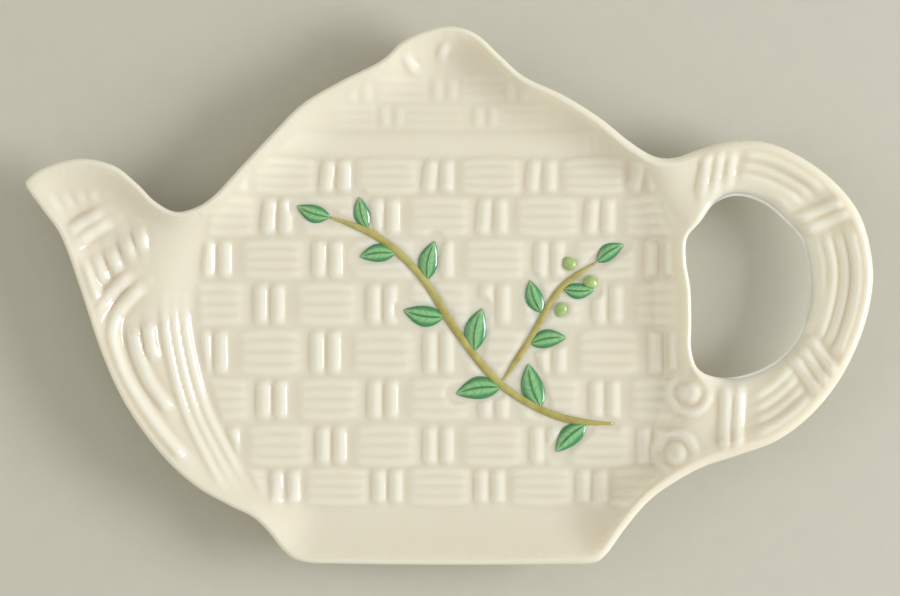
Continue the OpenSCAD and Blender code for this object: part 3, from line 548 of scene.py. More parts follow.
# %% Collar and handle ribs
collar_off, collar_pitch = 0.85 * mm, 1.6 * mm
collar_rib = (2.0 * mm, 0.5 * mm)
seam_even = respaced(seam_line, 41)
for k in range(3):
    path = []
    for share in np.linspace(0.03, 0.72, 24):
        here, run = on_path(seam_even, share)
        path.append(here - left_of(run) * (collar_off + k * collar_pitch))
    add_rib(path, *collar_rib, "clay", 3.0)

handle_outer = rim_line[handle_low_at * outline_steps:handle_top_at * outline_steps + 1]
handle_inner = np.vstack([hole_line[hole_low_at * outline_steps:], hole_line[:1]])
handle_a = respaced(handle_outer, 201)
handle_b = respaced(handle_inner, 201)
withy_off, handle_pitch, wrap_pitch = 2.8 * mm, 1.9 * mm, 2 * mm
handle_withy, handle_wrap = (2.2 * mm, 0.5 * mm), (2.5 * mm, 0.6 * mm)


def across_handle(t):
    """At a share of the handle's run: its outer edge, and the way and the distance to the hole."""
    start = on_path(handle_a, t)[0]
    way = on_path(handle_b, t)[0] - start
    far = np.linalg.norm(way)
    return start, way / far, far


for first, last in [(.135, .27), (.345, .6), (.67, .85)]:
    for k in range(4):
        path = []
        for t in np.linspace(first, last, 12):
            start, way, _ = across_handle(t)
            path.append(start + way * (withy_off + k * handle_pitch))
        add_rib(path, *handle_withy, "clay", 1.2)
for t, count in [(.1, 2), (.305, 3), (.632, 2), (.885, 3)]:
    start, way, far = across_handle(t)
    for k in range(count):
        beside = start + left_of(way) * (k - (count - 1) / 2) * wrap_pitch
        add_rib([beside + way * far * s for s in (0.05, 0.4, 0.6, 0.8, 0.98)], *handle_wrap, "clay")

scroll_r, scroll_rib, scroll_dome = 3.2 * mm, (2.0 * mm, 0.4 * mm), (3.4 * mm, 0.6 * mm)
for shares, start in [((.2835, -.182), 100), ((.266, -.292), -20)]:
    turns = np.radians(start + 290 * np.linspace(0, 1, 30))
    circle = scroll_r * np.stack([np.cos(turns), np.sin(turns)], 1)
    add_rib(at(shares) + circle, *scroll_rib, "clay", 1.5)
    add_rib(at(shares) + circle * 0.12, *scroll_dome, "clay", 0)
print("ribs in all:", len(ribs))

# %% [markdown]
# Each zone keeps its ribs off something: the weave off the walls, the collar and the handle's
# roots, everything off the rim and the hole's edge. A soft fade does it, as in a worn mould.

# %% Zones
off_rim, off_wall, off_hole = 0.9 * mm, 1.3 * mm, 0.6 * mm
off_collar, off_root, off_sprig = 5.6 * mm, 1.6 * mm, -0.1 * mm
fade_well, fade_sprig, fade_lid, fade_rim, fade_hole = 1.6 * mm, 0.9 * mm, 2 * mm, 1.3 * mm, 1.4 * mm


def zone_shares(p, gap):
    """How much of its height a rib of each zone has at each place."""
    off_left = p[:, 0] - x_on(seam_line, p[:, 1]) - off_collar
    off_right = x_on(root_line, p[:, 1]) - p[:, 0] - off_root
    well = np.minimum(gap - off_wall, np.minimum(off_left, off_right))
    return {"well": ease(well / fade_well) * ease((sprig_gap(p) - off_sprig) / fade_sprig),
            "lid": ease((gap - off_wall) / fade_lid),
            "clay": ease((gap - off_rim) / fade_rim) * ease((near_hole(p)[0] - off_hole) / fade_hole)}


row_middle_place = at((column_middle, row_shares[0]))[None]
found = zone_shares(row_middle_place, gap_to(row_middle_place, rim_line))
print("in the top row's middle:", {zone: round(float(share[0]), 2) for zone, share in found.items()})

# %% [markdown]
# Every vertex is measured only against the pads and ribs whose box it lies in, which keeps this
# fast. Where ribs cross, the higher one wins, as it does where a real withy passes over another.

# %% Relief height
def relief(p, gap):
    """Height of the moulded relief at each place."""
    zones = zone_shares(p, gap)
    height = np.zeros(len(p))
    under = np.zeros(len(p))
    for centre, long, high in pads:
        near = np.nonzero((np.abs(p - centre) < (long, high)).all(1))[0]
        x, y = np.abs((p[near] - centre) / (long, high)).T
        y = np.minimum(1, y / (1 - bow * x**2))
        under[near] = pad_rise * ((1 - x**5) * (1 - y**4))**1.2 * zones["well"][near]
    for path, width, rise, zone, ends in ribs:
        low, high = path.min(0) - width, path.max(0) + width
        near = np.nonzero((p > low).all(1) & (p < high).all(1))[0]
        if not len(near):
            continue
        q = p[near]
        across = gap_to(q, path, False) / (width / 2)
        runs = runs_along(path)
        nearest = np.array([((q - c)**2).sum(1) for c in respaced(path, 40)]).argmin(0) / 39 * runs[-1]
        to_end = np.minimum(nearest, runs[-1] - nearest) / (width * ends) if ends else 1
        profile = np.clip(1 - np.abs(across)**2.2, 0, 1)**1.2
        value = rise * profile * (0.12 + 0.88 * ease(to_end)) * zones[zone][near]
        height[near] = np.maximum(height[near], value)
    return under + height


stake_place = at((column_middle, row_shares[0])) + (0.5 * stake_pitch, 0)
print("relief over a stake: %.2f mm" % (relief(stake_place[None], np.array([20 * mm]))[0] / mm))

# %% [markdown]
# ## Modelling helpers
# Blender's operators act on what is selected and open, as a modeller's hand would. So a few short
# helpers clear the selection, open one piece in edit mode, close it again, and name what was added.

# %% Helpers for edit mode
def deselect():
    """Clears the selection, so that an operator acts on the new piece alone."""
    bpy.ops.object.select_all(action="DESELECT")


def edit(piece):
    """Opens one piece in edit mode and gives its mesh."""
    deselect()
    piece.select_set(True)
    bpy.context.view_layer.objects.active = piece
    bpy.ops.object.mode_set(mode="EDIT")
    return bmesh.from_edit_mesh(piece.data)


def leave_edit():
    """Goes back to object mode."""
    bpy.ops.object.mode_set(mode="OBJECT")


def named(name):
    """The primitive that was just added, under its own name."""
    piece = bpy.context.object
    piece.name = piece.data.name = name
    return piece


print("helpers ready in", bpy.context.mode.lower(), "mode")

# %% [markdown]
# A loop of edges is extruded, and the new loop is laid on its own places. Each vertex carries a
# number that extruding copies, so a new vertex knows which place is its own.

# %% Loops of edges
def add_circle(name, count, radius):
    """A circle primitive, open and selected, whose vertices carry their numbers."""
    deselect()
    bpy.ops.mesh.primitive_circle_add(vertices=count, radius=radius)
    piece = named(name)
    mesh = edit(piece)
    order = mesh.verts.layers.int.new("order")
    for i, v in enumerate(mesh.verts):
        v[order] = i
    bpy.ops.mesh.select_all(action="SELECT")
    return piece


def lay_loop(piece, places, ring):
    """Puts the selected vertices on their places and notes the ring's number."""
    mesh = bmesh.from_edit_mesh(piece.data)
    order, rings = mesh.verts.layers.int["order"], mesh.verts.layers.int["ring"]
    for v in mesh.verts:
        if v.select:
            v.co = (*places[v[order]], 0)
            v[rings] = ring
    bmesh.update_edit_mesh(piece.data)


def add_loop(name, places):
    """A circle primitive with one vertex for each place, laid on the places."""
    piece = add_circle(name, len(places), 10 * mm)
    bmesh.from_edit_mesh(piece.data).verts.layers.int.new("ring")
    lay_loop(piece, places, 0)
    return piece


def grow_loop(piece, places, ring):
    """Extrudes the selected loop on to new places."""
    bpy.ops.mesh.extrude_edges_move()
    lay_loop(piece, places, ring)

# %% [markdown]
# ## The casting's top
# One way would be to sculpt the tray from a remeshed block, but that blurs the lip, whose long
# highlight gives glazed ware away. Instead loops that follow the outline make the lip, a fine
# grid makes the floor, and a fill knits the two together. All of it is flat until the heights are
# set at the end, which keeps the fill simple.

# %% Rings of the lip and the hole's edge
def inward(line, into=1.0):
    """A unit vector square to a closed line, to its left, at each of its points."""
    run = np.roll(line, -2, 0) - np.roll(line, 2, 0)
    run /= np.linalg.norm(run, axis=1)[:, None]
    return np.stack([-run[:, 1], run[:, 0]], 1) * into


cell = 0.34 * mm
ring_step = 0.36 * mm
lip_turns = [12, 26, 42, 58, 74, 90]
past_lip = 0.28 * mm
rim_places = respaced(rim_line, int(length_of(rim_line) / ring_step), True)
hole_places = respaced(hole_line, int(length_of(hole_line) / ring_step), True)
rim_in = inward(rim_places)
hole_in = inward(hole_places, -1.0)
rim_round = lip_size(rim_places[:, 0])[0][:, None]
hole_round = (soft_w + (lip_r - soft_w) * hole_lip(hole_places[:, 0]))[:, None]


def add_lip(name, places, into, round_to):
    """The loops of an edge that is round over this distance, from the outline in."""
    piece = add_loop(name, places)
    gaps = [round_to * (1 - math.cos(math.radians(a))) for a in lip_turns] + [round_to + past_lip]
    for k, gap in enumerate(gaps):
        grow_loop(piece, places + into * gap, k + 1)
    leave_edit()
    return piece


top = add_lip("casting", rim_places, rim_in, rim_round)
eye = add_lip("eye", hole_places, hole_in, hole_round)
print("rim loop:", len(rim_places), "places, hole loop:", len(hole_places))

# %% [markdown]
# The grid covers the whole tray, and its cells outside the lip's last loop are deleted. Two cells
# that touch only at a corner would confuse the fill, so one of each such pair goes too.

# %% The floor's grid, trimmed to the lip
def read(items, key, columns=1, kind=float):
    """One property of all vertices, edges or faces, as an array with so many columns."""
    values = np.empty(len(items) * columns, kind)
    items.foreach_get(key, values)
    return values.reshape(-1, columns) if columns > 1 else values


def write_places(piece, places):
    """Lays all vertices of a piece on these places."""
    piece.data.vertices.foreach_set("co", places.ravel())
    piece.data.update()


def trimmed_grid(name, step, rim_gap, hole_gaps):
    """A grid of square cells, without those near or outside the edges.

    The gap to the rim is a function of x, the gap to the hole a number for each place on it."""
    nx, ny = int(tray_l / step), int(tray_w / step)
    deselect()
    bpy.ops.mesh.primitive_grid_add(x_subdivisions=nx, y_subdivisions=ny, size=1)
    piece = named(name)
    places = read(piece.data.vertices, "co", 3) * (tray_l, tray_w, 0)
    write_places(piece, places)
    flat = places[:, :2]
    keep = inside(flat, rim_line) & ~inside(flat, hole_line)
    keep[keep] = gap_to(flat[keep], rim_line) > rim_gap(flat[keep, 0])
    right = np.nonzero(keep & (flat[:, 0] > hole_fade - 5 * hole_slope))[0]
    clear = np.full(len(right), tray_l)
    for place, gap in zip(hole_places, hole_gaps):
        clear = np.minimum(clear, np.linalg.norm(flat[right] - place, axis=1) - gap)
    keep[right] = clear > 0
    cells = keep[read(piece.data.polygons, "vertices", 4, int)].all(1).reshape(ny, nx)
    for _ in range(6):
        a, b, c, d = cells[:-1, :-1], cells[:-1, 1:], cells[1:, :-1], cells[1:, 1:]
        cells[:-1, :-1] &= ~(a & d & ~b & ~c)
        cells[:-1, 1:] &= ~(b & c & ~a & ~d)
    edit(piece)
    bpy.ops.mesh.select_mode(type="FACE")
    bpy.ops.mesh.select_all(action="DESELECT")
    leave_edit()
    piece.data.polygons.foreach_set("select", ~cells.ravel())
    edit(piece)
    bpy.ops.mesh.delete(type="FACE")
    bpy.ops.mesh.select_mode(type="VERT")
    leave_edit()
    print(name, "cells:", int(cells.sum()))
    return piece


reach = past_lip + 0.5 * cell
floor_grid = trimmed_grid("floor_grid", cell, lambda x: lip_size(x)[0] + reach, hole_round[:, 0] + reach)

# %% Knit grid and loops together
def pick_edges(piece, wanted):
    """Opens a piece and selects the edges of its holes for which the test is true."""
    mesh = edit(piece)
    bpy.ops.mesh.select_mode(type="EDGE")
    bpy.ops.mesh.select_all(action="DESELECT")
    rings = mesh.verts.layers.int["ring"]
    for e in mesh.edges:
        if e.is_boundary and wanted(e, rings):
            e.select = True
    bmesh.update_edit_mesh(piece.data)
    return mesh


def knit(piece, ring, grid):
    """Fills between the boundary edges of the grid and of the loops with these numbers."""
    mesh = pick_edges(piece, lambda e, rings: {v[rings] for v in e.verts} in ({ring}, {grid}))
    before = len(mesh.faces)
    bpy.ops.mesh.fill(use_beauty=True)
    made = len(bmesh.from_edit_mesh(piece.data).faces) - before
    leave_edit()
    print("knit with", made, "faces")


def join(pieces, name):
    """Makes one piece of several."""
    deselect()
    for p in pieces:
        p.select_set(True)
    bpy.context.view_layer.objects.active = pieces[0]
    bpy.ops.object.join()
    return named(name)


def number_grid(piece, number):
    """Marks a grid's vertices with a number below the loops' own."""
    mark = piece.data.attributes.new("ring", "INT", "POINT")
    mark.data.foreach_set("value", np.full(len(piece.data.vertices), number, np.int32))


floor_mark, under_mark = -1, -2
number_grid(floor_grid, floor_mark)
casting = join([top, eye, floor_grid], "glazed_casting")
knit(casting, len(lip_turns) + 1, floor_mark)

# %% [markdown]
# ## The casting's underside
# The underside isn't seen in use, so it has a coarser grid. Its loops start from the same edge
# loop, first straight down the lip's plain side, then in below it.

# %% Underside loops and grid
under_gaps = [0, 0.35 * mm, 0.9 * mm, 1.7 * mm]
under_cell = 1.2 * mm
under_start = 20
touching = 0.01 * mm


def grow_under(piece, places, into):
    """Extrudes the edge loop on these places, ring by ring, for the underside."""
    def on_places(e, rings):
        return e.verts[0][rings] == 0 and gap_to(np.array([e.verts[0].co.xy]), places)[0] < touching

    pick_edges(piece, on_places)
    bpy.ops.mesh.select_mode(type="VERT")
    for k, gap in enumerate(under_gaps):
        grow_loop(piece, places + into * gap, under_start + k)
    leave_edit()


grow_under(casting, rim_places, rim_in)
grow_under(casting, hole_places, hole_in)
under_reach = under_gaps[-1] + 0.5 * under_cell
under_grid = trimmed_grid("under_grid", under_cell, lambda x: under_reach,
                          np.full(len(hole_places), under_reach))
number_grid(under_grid, under_mark)
casting = join([casting, under_grid], "glazed_casting")
knit(casting, under_start + len(under_gaps) - 1, under_mark)

# %% [markdown]
# Now the flat casting gets its heights. The loops of the lip turn over their round by angle, so
# the highlight on them stays clean, and everything else follows the height function.

# %% Heights for each vertex
def read_mark(piece, mark):
    """The whole numbers that a piece's vertices carry under this name."""
    return read(piece.data.attributes[mark].data, "value", kind=np.int32)


def raise_casting(piece):
    """Each vertex's place, plain height and relief, and whether it lies inside the lips."""
    flat = read(piece.data.vertices, "co", 3)[:, :2]
    ring, order = read_mark(piece, "ring"), read_mark(piece, "order")
    low = (ring >= under_start) | (ring == under_mark)
    gap = gap_to(flat, rim_line)
    z, rise = np.empty(len(flat)), np.zeros(len(flat))
    z[low] = under_z(flat[low], gap[low])
    z[~low] = top_z(flat[~low], gap[~low])
    rise[~low] = relief(flat[~low], gap[~low])
    edge = (ring >= 0) & (ring <= len(lip_turns))
    spots, k = flat[edge], ring[edge]
    inner = near_hole(spots)[0]
    on_rim = gap[edge] < inner
    turned = 1 - np.cos(np.radians(np.array([0] + lip_turns)))[k]
    rim_at, hole_at = [line[np.minimum(order[edge], len(line) - 1), 0] for line in (rim_round, hole_round)]
    z[edge] = top_z(spots, np.where(on_rim, rim_at * turned, gap[edge]),
                    np.where(on_rim, inner, hole_at * turned))
    return flat, z, rise, ~low & ~edge


flat, plain, rise, free = raise_casting(casting)
print("vertices:", len(flat), "of which", int(free.sum()), "inside the lips")

# %% [markdown]
# Inside the lips the plain heights are averaged with their neighbours' many times over, so that no
# crease shows where two slopes meet. The relief is added after that, crisp as it is. Last, the
# normals are made to point outwards, which the glaze's gloss needs.

# %% Set the heights
def blurred(values, edges, times):
    """Each value averaged with its neighbours', several times over."""
    count = np.bincount(edges.ravel(), minlength=len(values)).astype(float)
    for _ in range(times):
        total = np.bincount(edges[:, 0], values[edges[:, 1]], len(values))
        total += np.bincount(edges[:, 1], values[edges[:, 0]], len(values))
        values = (values + total) / (1 + count)
    return values


def softened(values, edges, free, times):
    """The values of the free vertices, averaged with their neighbours' many times over."""
    soft = values
    for _ in range(times):
        soft = np.where(free, blurred(soft, edges, 1), values)
    return soft


def finish_edit():
    """Turns the open mesh's normals outwards, leaves edit mode and shades the piece smooth."""
    bpy.ops.mesh.select_all(action="SELECT")
    bpy.ops.mesh.normals_make_consistent(inside=False)
    leave_edit()
    bpy.ops.object.shade_smooth()


softening = 90
edges = read(casting.data.edges, "vertices", 2, int)
plain = softened(plain, edges, free, softening)
write_places(casting, np.column_stack([flat, plain + rise]))
edit(casting)
finish_edit()
heights = read(casting.data.vertices, "co", 3)[:, 2]
triangles = sum(len(f.vertices) - 2 for f in casting.data.polygons)
print("casting: %d triangles, z %.2f to %.2f mm" % (triangles, heights.min() / mm, heights.max() / mm))

# %% [markdown]
# ## Where glaze pools
# Glaze runs off crests into hollows and is a little darker and warmer where it is thick. The
# relief at each vertex against the mean of its neighbours says which it is. It is kept as an
# attribute, so the material's pattern follows the form.

# %% Pooling attribute
def drop_marks(piece, *marks):
    """Takes helper numbers off a finished piece."""
    for mark in marks:
        piece.data.attributes.remove(piece.data.attributes[mark])


pool_reach, pool_span = 10, 0.3 * mm
hollow = blurred(rise, edges, pool_reach) - rise
pool = blurred(np.clip(0.5 + hollow / pool_span, 0, 1), edges, 1)
casting.data.attributes.new("pool", "FLOAT", "POINT").data.foreach_set("value", pool.astype(np.float32))
drop_marks(casting, "order", "ring")
print("pooling: %.0f%% hollow, %.0f%% crest" % (100 * (pool > 0.7).mean(), 100 * (pool < 0.3).mean()))

# %% [markdown]
# ## The foot ring
# The tray stands on a low ring of bare clay, wiped free of glaze before firing. It could be a copy
# of the CAD node, but a fired ring has soft edges, so loops of edges are grown along it, round
# its section, and bridged into a closed band.

# %% Foot ring
foot_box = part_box("foot_ring")
foot_w = 2.2 * mm
foot_round = 0.35 * mm
foot_sink = 0.3 * mm
foot_rays = np.linspace(0, 2 * math.pi, 240, endpoint=False)
ray_places = np.linspace(10 * mm, 80 * mm, 140)[:, None]
foot_off_wall = 1 * mm
flat_within = 0.05 * mm


def foot_line():
    """The ring's outer line: where the wall meets the floor, smoothed."""
    line = []
    for angle in foot_rays:
        spots = middle + heading(angle) * ray_places
        room = gap_to(spots, rim_line) - slope_w(spots) - foot_off_wall
        flat = (base_z(spots) < floor_h + flat_within) & (room > 0) & inside(spots, rim_line)
        last = np.argmin(flat) - 1 if not flat.all() else len(flat) - 1
        line.append(spots[max(last, 0)])
    line = np.array(line)
    for _ in range(10):
        line = (np.roll(line, 1, 0) + line + np.roll(line, -1, 0)) / 3
    low, high = line.min(0), line.max(0)
    aim = np.array([foot_box[0][:2], foot_box[1][:2]])
    return aim[0] + (line - low) * (aim[1] - aim[0]) / (high - low)


def make_foot_ring():
    """The bare ring: its section's corners as (distance in, height), grown round the line."""
    line = foot_line()
    into = inward(line)
    steps = [(0, foot_h + foot_sink), (0, foot_round), (0.1 * foot_round, 0.3 * foot_round), (foot_round, 0),
             (foot_w - foot_round, 0), (foot_w - 0.1 * foot_round, 0.3 * foot_round), (foot_w, foot_round),
             (foot_w, foot_h + foot_sink)]
    piece = add_loop("foot_ring_bare", line)
    for k in range(1, len(steps)):
        grow_loop(piece, line + into * steps[k][0], k)
    bpy.ops.mesh.select_mode(type="EDGE")
    bpy.ops.mesh.select_all(action="DESELECT")
    bpy.ops.mesh.select_non_manifold()
    bpy.ops.mesh.bridge_edge_loops()
    mesh = bmesh.from_edit_mesh(piece.data)
    ring = mesh.verts.layers.int["ring"]
    for v in mesh.verts:
        v.co.z = steps[v[ring]][1]
    bmesh.update_edit_mesh(piece.data)
    finish_edit()
    drop_marks(piece, "order", "ring")
    return piece


foot = make_foot_ring()
print("foot ring:", len(foot.data.polygons), "faces")

# %% [markdown]
# ## Raised stems
# A stem is a round-backed line of enamel over clay, half sunk in the glaze. A ring of edges is
# grown along its path, narrow at both ends, and follows the tray's own surface.

# %% Stems
def clay_z(p):
    """Height of the finished surface at each place, found by looking straight down on it."""
    return np.array([casting.ray_cast((*spot, 1), (0, 0, -1))[1].z for spot in p.tolist()])


thin_end = 0.35
stem_section = (1.25 * mm, 0.36 * mm, 0.12)
twig_section = (1.0 * mm, 0.32 * mm, 0.2)


def make_stem(name, line, width, rise, taper):
    """A half-sunk rounded ridge along a line. Taper says how much of the line each thin end takes."""
    n = len(line)
    run = np.gradient(line, axis=0)
    run /= np.linalg.norm(run, axis=1)[:, None]
    side = np.stack([-run[:, 1], run[:, 0]], 1)
    ground = clay_z(line)
    share = np.minimum(np.arange(n), np.arange(n)[::-1]) / (n - 1)
    size = thin_end + (1 - thin_end) * ease(share / taper)
    turns = np.linspace(0, 2 * math.pi, 14, endpoint=False)
    piece = add_circle(name, len(turns), width / 2)

    def lay(k):
        """Lays the selected ring round the line's place k."""
        live = bmesh.from_edit_mesh(piece.data)
        slot = live.verts.layers.int["order"]
        for v in live.verts:
            if v.select:
                t = turns[v[slot]]
                out = side[k] * math.cos(t) * width / 2 * size[k]
                v.co = (line[k, 0] + out[0], line[k, 1] + out[1], ground[k] + math.sin(t) * rise * size[k])
        bmesh.update_edit_mesh(piece.data)

    lay(0)
    bpy.ops.mesh.edge_face_add()
    bpy.ops.mesh.select_all(action="SELECT")
    for k in range(1, n):
        bpy.ops.mesh.extrude_edges_move()
        lay(k)
    bpy.ops.mesh.edge_face_add()
    finish_edit()
    drop_marks(piece, "order")
    return piece


stem = make_stem("vine_stem_enamel", stem_line, *stem_section)
twig = make_stem("vine_twig_enamel", twig_line, *twig_section)
print("stems:", len(stem.data.polygons) + len(twig.data.polygons), "faces")

# %% [markdown]
# ## Leaves
# A leaf is pressed clay under green enamel: lance-shaped, domed and thin at its edge. One is
# shaped from a grid primitive at unit length, then copied, each copy with its own mesh, which is
# scaled, turned and bent to the dished floor.

# %% Shape one leaf
leaf_rise = 0.5 * mm
leaf_lift = 0.06 * mm
leaf_curl = 0.06
leaf_nx, leaf_ny = 30, 14


def shape_leaf():
    """One leaf along X from 0 to 1, closed below, with its marks in a UV map."""
    deselect()
    bpy.ops.mesh.primitive_grid_add(x_subdivisions=leaf_nx, y_subdivisions=leaf_ny, size=1)
    piece = bpy.context.object
    mesh = edit(piece)
    uv = mesh.loops.layers.uv.verify()
    for f in mesh.faces:
        for l in f.loops:
            l[uv].uv = (l.vert.co.x + 0.5, l.vert.co.y + 0.5)
    for v in mesh.verts:
        s, t = v.co.x + 0.5, v.co.y * 2
        half = 0.5 * math.sin(math.pi * s**0.85)**0.85
        v.co.x = s + 0.015 * (1 - t * t) * math.sin(math.pi * s)
        v.co.y = t * half * leaf_w / leaf_l * 1.02
        v.co.z = (1 - abs(t)**2.4) * math.sin(math.pi * s)**0.6
    bmesh.update_edit_mesh(piece.data)
    bpy.ops.mesh.select_all(action="SELECT")
    bpy.ops.mesh.extrude_region_move(TRANSFORM_OT_translate={"value": (0, 0, -0.9)})
    bpy.ops.mesh.select_all(action="SELECT")
    bpy.ops.mesh.remove_doubles(threshold=0.0005)
    finish_edit()
    return piece


pattern_leaf = shape_leaf()
print("leaf pattern:", len(pattern_leaf.data.polygons), "faces")

# %% Copy it along the stems
def copy_of(pattern, name):
    """A copy with its own mesh."""
    piece = bpy.data.objects.new(name, pattern.data.copy())
    piece.data.name = name
    bpy.context.collection.objects.link(piece)
    return piece


def on_leaf(start, angle, size, x, y):
    """Where points of a unit leaf lie on the tray, once it is scaled, curled a little and turned."""
    length = leaf_l * size
    c, s = math.cos(angle), math.sin(angle)
    curl = leaf_curl * length * np.sin(math.pi * x) * (1 if s > 0 else -1)
    x, y = x * length, y * length + curl
    return np.column_stack([start[0] + x * c - y * s, start[1] + x * s + y * c])


leaf_pieces = []
for k, leaf in enumerate(leaves):
    piece = copy_of(pattern_leaf, "leaf_%02d" % (k + 1))
    co = read(piece.data.vertices, "co", 3)
    flat = on_leaf(*leaf, co[:, 0], co[:, 1])
    write_places(piece, np.column_stack([flat, clay_z(flat) + leaf_lift + co[:, 2] * leaf_rise]))
    leaf_pieces.append(piece)
bpy.data.objects.remove(pattern_leaf)
print("leaves:", len(leaf_pieces))

# %% [markdown]
# The middle rib is a fine raised line of darker enamel from the leaf's foot almost to its tip.

# %% Middle ribs
rib_w, rib_rise, rib_taper = 0.42 * mm, 0.13 * mm, 0.3


def make_leaf_rib(name, start, angle, size):
    """A thin stem along a leaf's middle, raised by the leaf's own dome."""
    t = np.linspace(0.0, 0.86, 16)
    line = on_leaf(start, angle, size, t, 0 * t)
    piece = make_stem(name, line, rib_w * size, rib_rise, rib_taper)
    co = read(piece.data.vertices, "co", 3)
    off = (co[:, :2] - start) @ heading(angle) / (leaf_l * size)
    co[:, 2] += leaf_lift + leaf_rise * np.sin(math.pi * np.clip(off, 0.0, 1))**0.6
    write_places(piece, co)
    return piece


rib_pieces = [make_leaf_rib("leaf_rib_%02d" % (k + 1), *leaf) for k, leaf in enumerate(leaves)]
print("leaf ribs:", len(rib_pieces))

# %% [markdown]
# ## Buds
# Three small buds stand near the twig's end. Each is a flattened ball with a slight point, pressed
# into the clay.

# %% Buds
bud_point, bud_flat, bud_lift = 0.35, 0.62, 0.1 * mm


def make_bud(name, centre):
    """A ball primitive, drawn out a little away from the twig and pressed flat."""
    ground = clay_z(centre[None])[0]
    deselect()
    bpy.ops.mesh.primitive_uv_sphere_add(segments=28, ring_count=16, radius=bud_r)
    piece = named(name)
    mesh = edit(piece)
    towards = centre - twig_line[-6]
    towards = towards / np.linalg.norm(towards)
    for v in mesh.verts:
        tip = max(0.0, (v.co.x * towards[0] + v.co.y * towards[1]) / bud_r)
        v.co.x += towards[0] * bud_point * bud_r * tip**3
        v.co.y += towards[1] * bud_point * bud_r * tip**3
        v.co.z *= bud_flat
    bmesh.update_edit_mesh(piece.data)
    bpy.ops.mesh.select_all(action="SELECT")
    bpy.ops.transform.translate(value=(centre[0], centre[1], ground + bud_lift))
    leave_edit()
    bpy.ops.object.shade_smooth()
    return piece


bud_pieces = [make_bud("bud_%d" % (k + 1), b) for k, b in enumerate(buds)]
print("buds:", len(bud_pieces))

# %% [markdown]
# ## Finishes
# Small node groups give the effects that several finishes share: a faint waviness of fired glaze,
# and cloudy changes of tone. Each finish then has its own shader with its own plain values.

# %% Helpers for nodes
def colour(r, g, b):
    """A colour written as on a screen, from 0 to 255, as the renderer needs it."""
    screen = np.array([r, g, b]) / 255
    return (*np.where(screen <= 0.04045, screen / 12.92, ((screen + 0.055) / 1.055)**2.4), 1.0)


def feed(tree, node, inputs):
    """Gives each of a node's inputs a plain value, or a link from another node's output."""
    for socket, source in inputs.items():
        if isinstance(source, bpy.types.NodeSocket):
            tree.links.new(source, node.inputs[socket])
        else:
            node.inputs[socket].default_value = source


def add_node(tree, kind, inputs, **settings):
    """A shader node with its settings and its inputs."""
    node = tree.nodes.new("ShaderNode" + kind)
    for key, value in settings.items():
        setattr(node, key, value)
    feed(tree, node, inputs)
    return node


def sum_of(tree, operation, *inputs, clamp=False):
    """The result of a sum on links and plain numbers."""
    return add_node(tree, "Math", dict(enumerate(inputs)), operation=operation, use_clamp=clamp).outputs[0]


def noise_in(tree, **inputs):
    """Noise over a piece's own coordinates."""
    place = add_node(tree, "TexCoord", {})
    return add_node(tree, "TexNoise", {"Vector": place.outputs["Object"], **inputs}).outputs["Fac"]


print("the glaze's thin tone:", [round(float(v), 3) for v in colour(244, 240, 224)])

# %% Helpers for groups and materials
def new_group(name, inputs, outputs):
    """A shader node group with named sockets."""
    group = bpy.data.node_groups.new(name, "ShaderNodeTree")
    for kind, title, value in inputs:
        socket = group.interface.new_socket(title, in_out="INPUT", socket_type="NodeSocket" + kind)
        socket.default_value = value
    for kind, title in outputs:
        group.interface.new_socket(title, in_out="OUTPUT", socket_type="NodeSocket" + kind)
    return group, group.nodes.new("NodeGroupInput").outputs, group.nodes.new("NodeGroupOutput")


def new_material(name):
    """A material, its nodes and its shader."""
    material = bpy.data.materials.new(name)
    material.use_nodes = True
    return material, material.node_tree, material.node_tree.nodes["Principled BSDF"]

# %% Cloudy tone and waviness groups
def cloud_group():
    """A colour that drifts softly between two tones over the piece."""
    group, given, out = new_group("cloudy tone", [
        ("Color", "Thin", (1, 1, 1, 1)), ("Color", "Thick", (1, 1, 1, 1)),
        ("Float", "Pool", 0.5), ("Float", "Drift", 0.2), ("Float", "Scale", 60.0),
    ], [("Color", "Colour")])
    centred = sum_of(group, "SUBTRACT", noise_in(group, Scale=given["Scale"], Detail=3), 0.5)
    drift = sum_of(group, "MULTIPLY_ADD", centred, given["Drift"], given["Pool"], clamp=True)
    mix = add_node(group, "Mix", {0: drift, 6: given["Thin"], 7: given["Thick"]}, data_type="RGBA")
    feed(group, out, {"Colour": mix.outputs[2]})
    return group


def wave_group():
    """The faint orange-peel of a fired glaze, as a height."""
    group, given, out = new_group("glaze waviness", [("Float", "Scale", 300.0)], [("Float", "Height")])
    feed(group, out, {"Height": noise_in(group, Scale=given["Scale"], Detail=1.5)})
    return group


cloudy, wavy = cloud_group(), wave_group()
print("groups:", cloudy.name, "and", wavy.name)

# %% [markdown]
# ## Glaze
# The glaze is a warm, faintly green white over a pale body: lighter on crests, creamier in
# hollows, and glassy all over. Its gloss is a low roughness with a thin clear coat. Light sinks
# a little way into it, as into any porcelain, so its shadows stay warm.

# %% Glaze material
def place_group(tree, group, inputs):
    """A node group, placed in a material with its own values."""
    return add_node(tree, "Group", inputs, node_tree=group).outputs


def bump(tree, height, distance, strength):
    """A normal that follows a fine height."""
    return add_node(tree, "Bump", {"Height": height, "Distance": distance, "Strength": strength}).outputs[0]


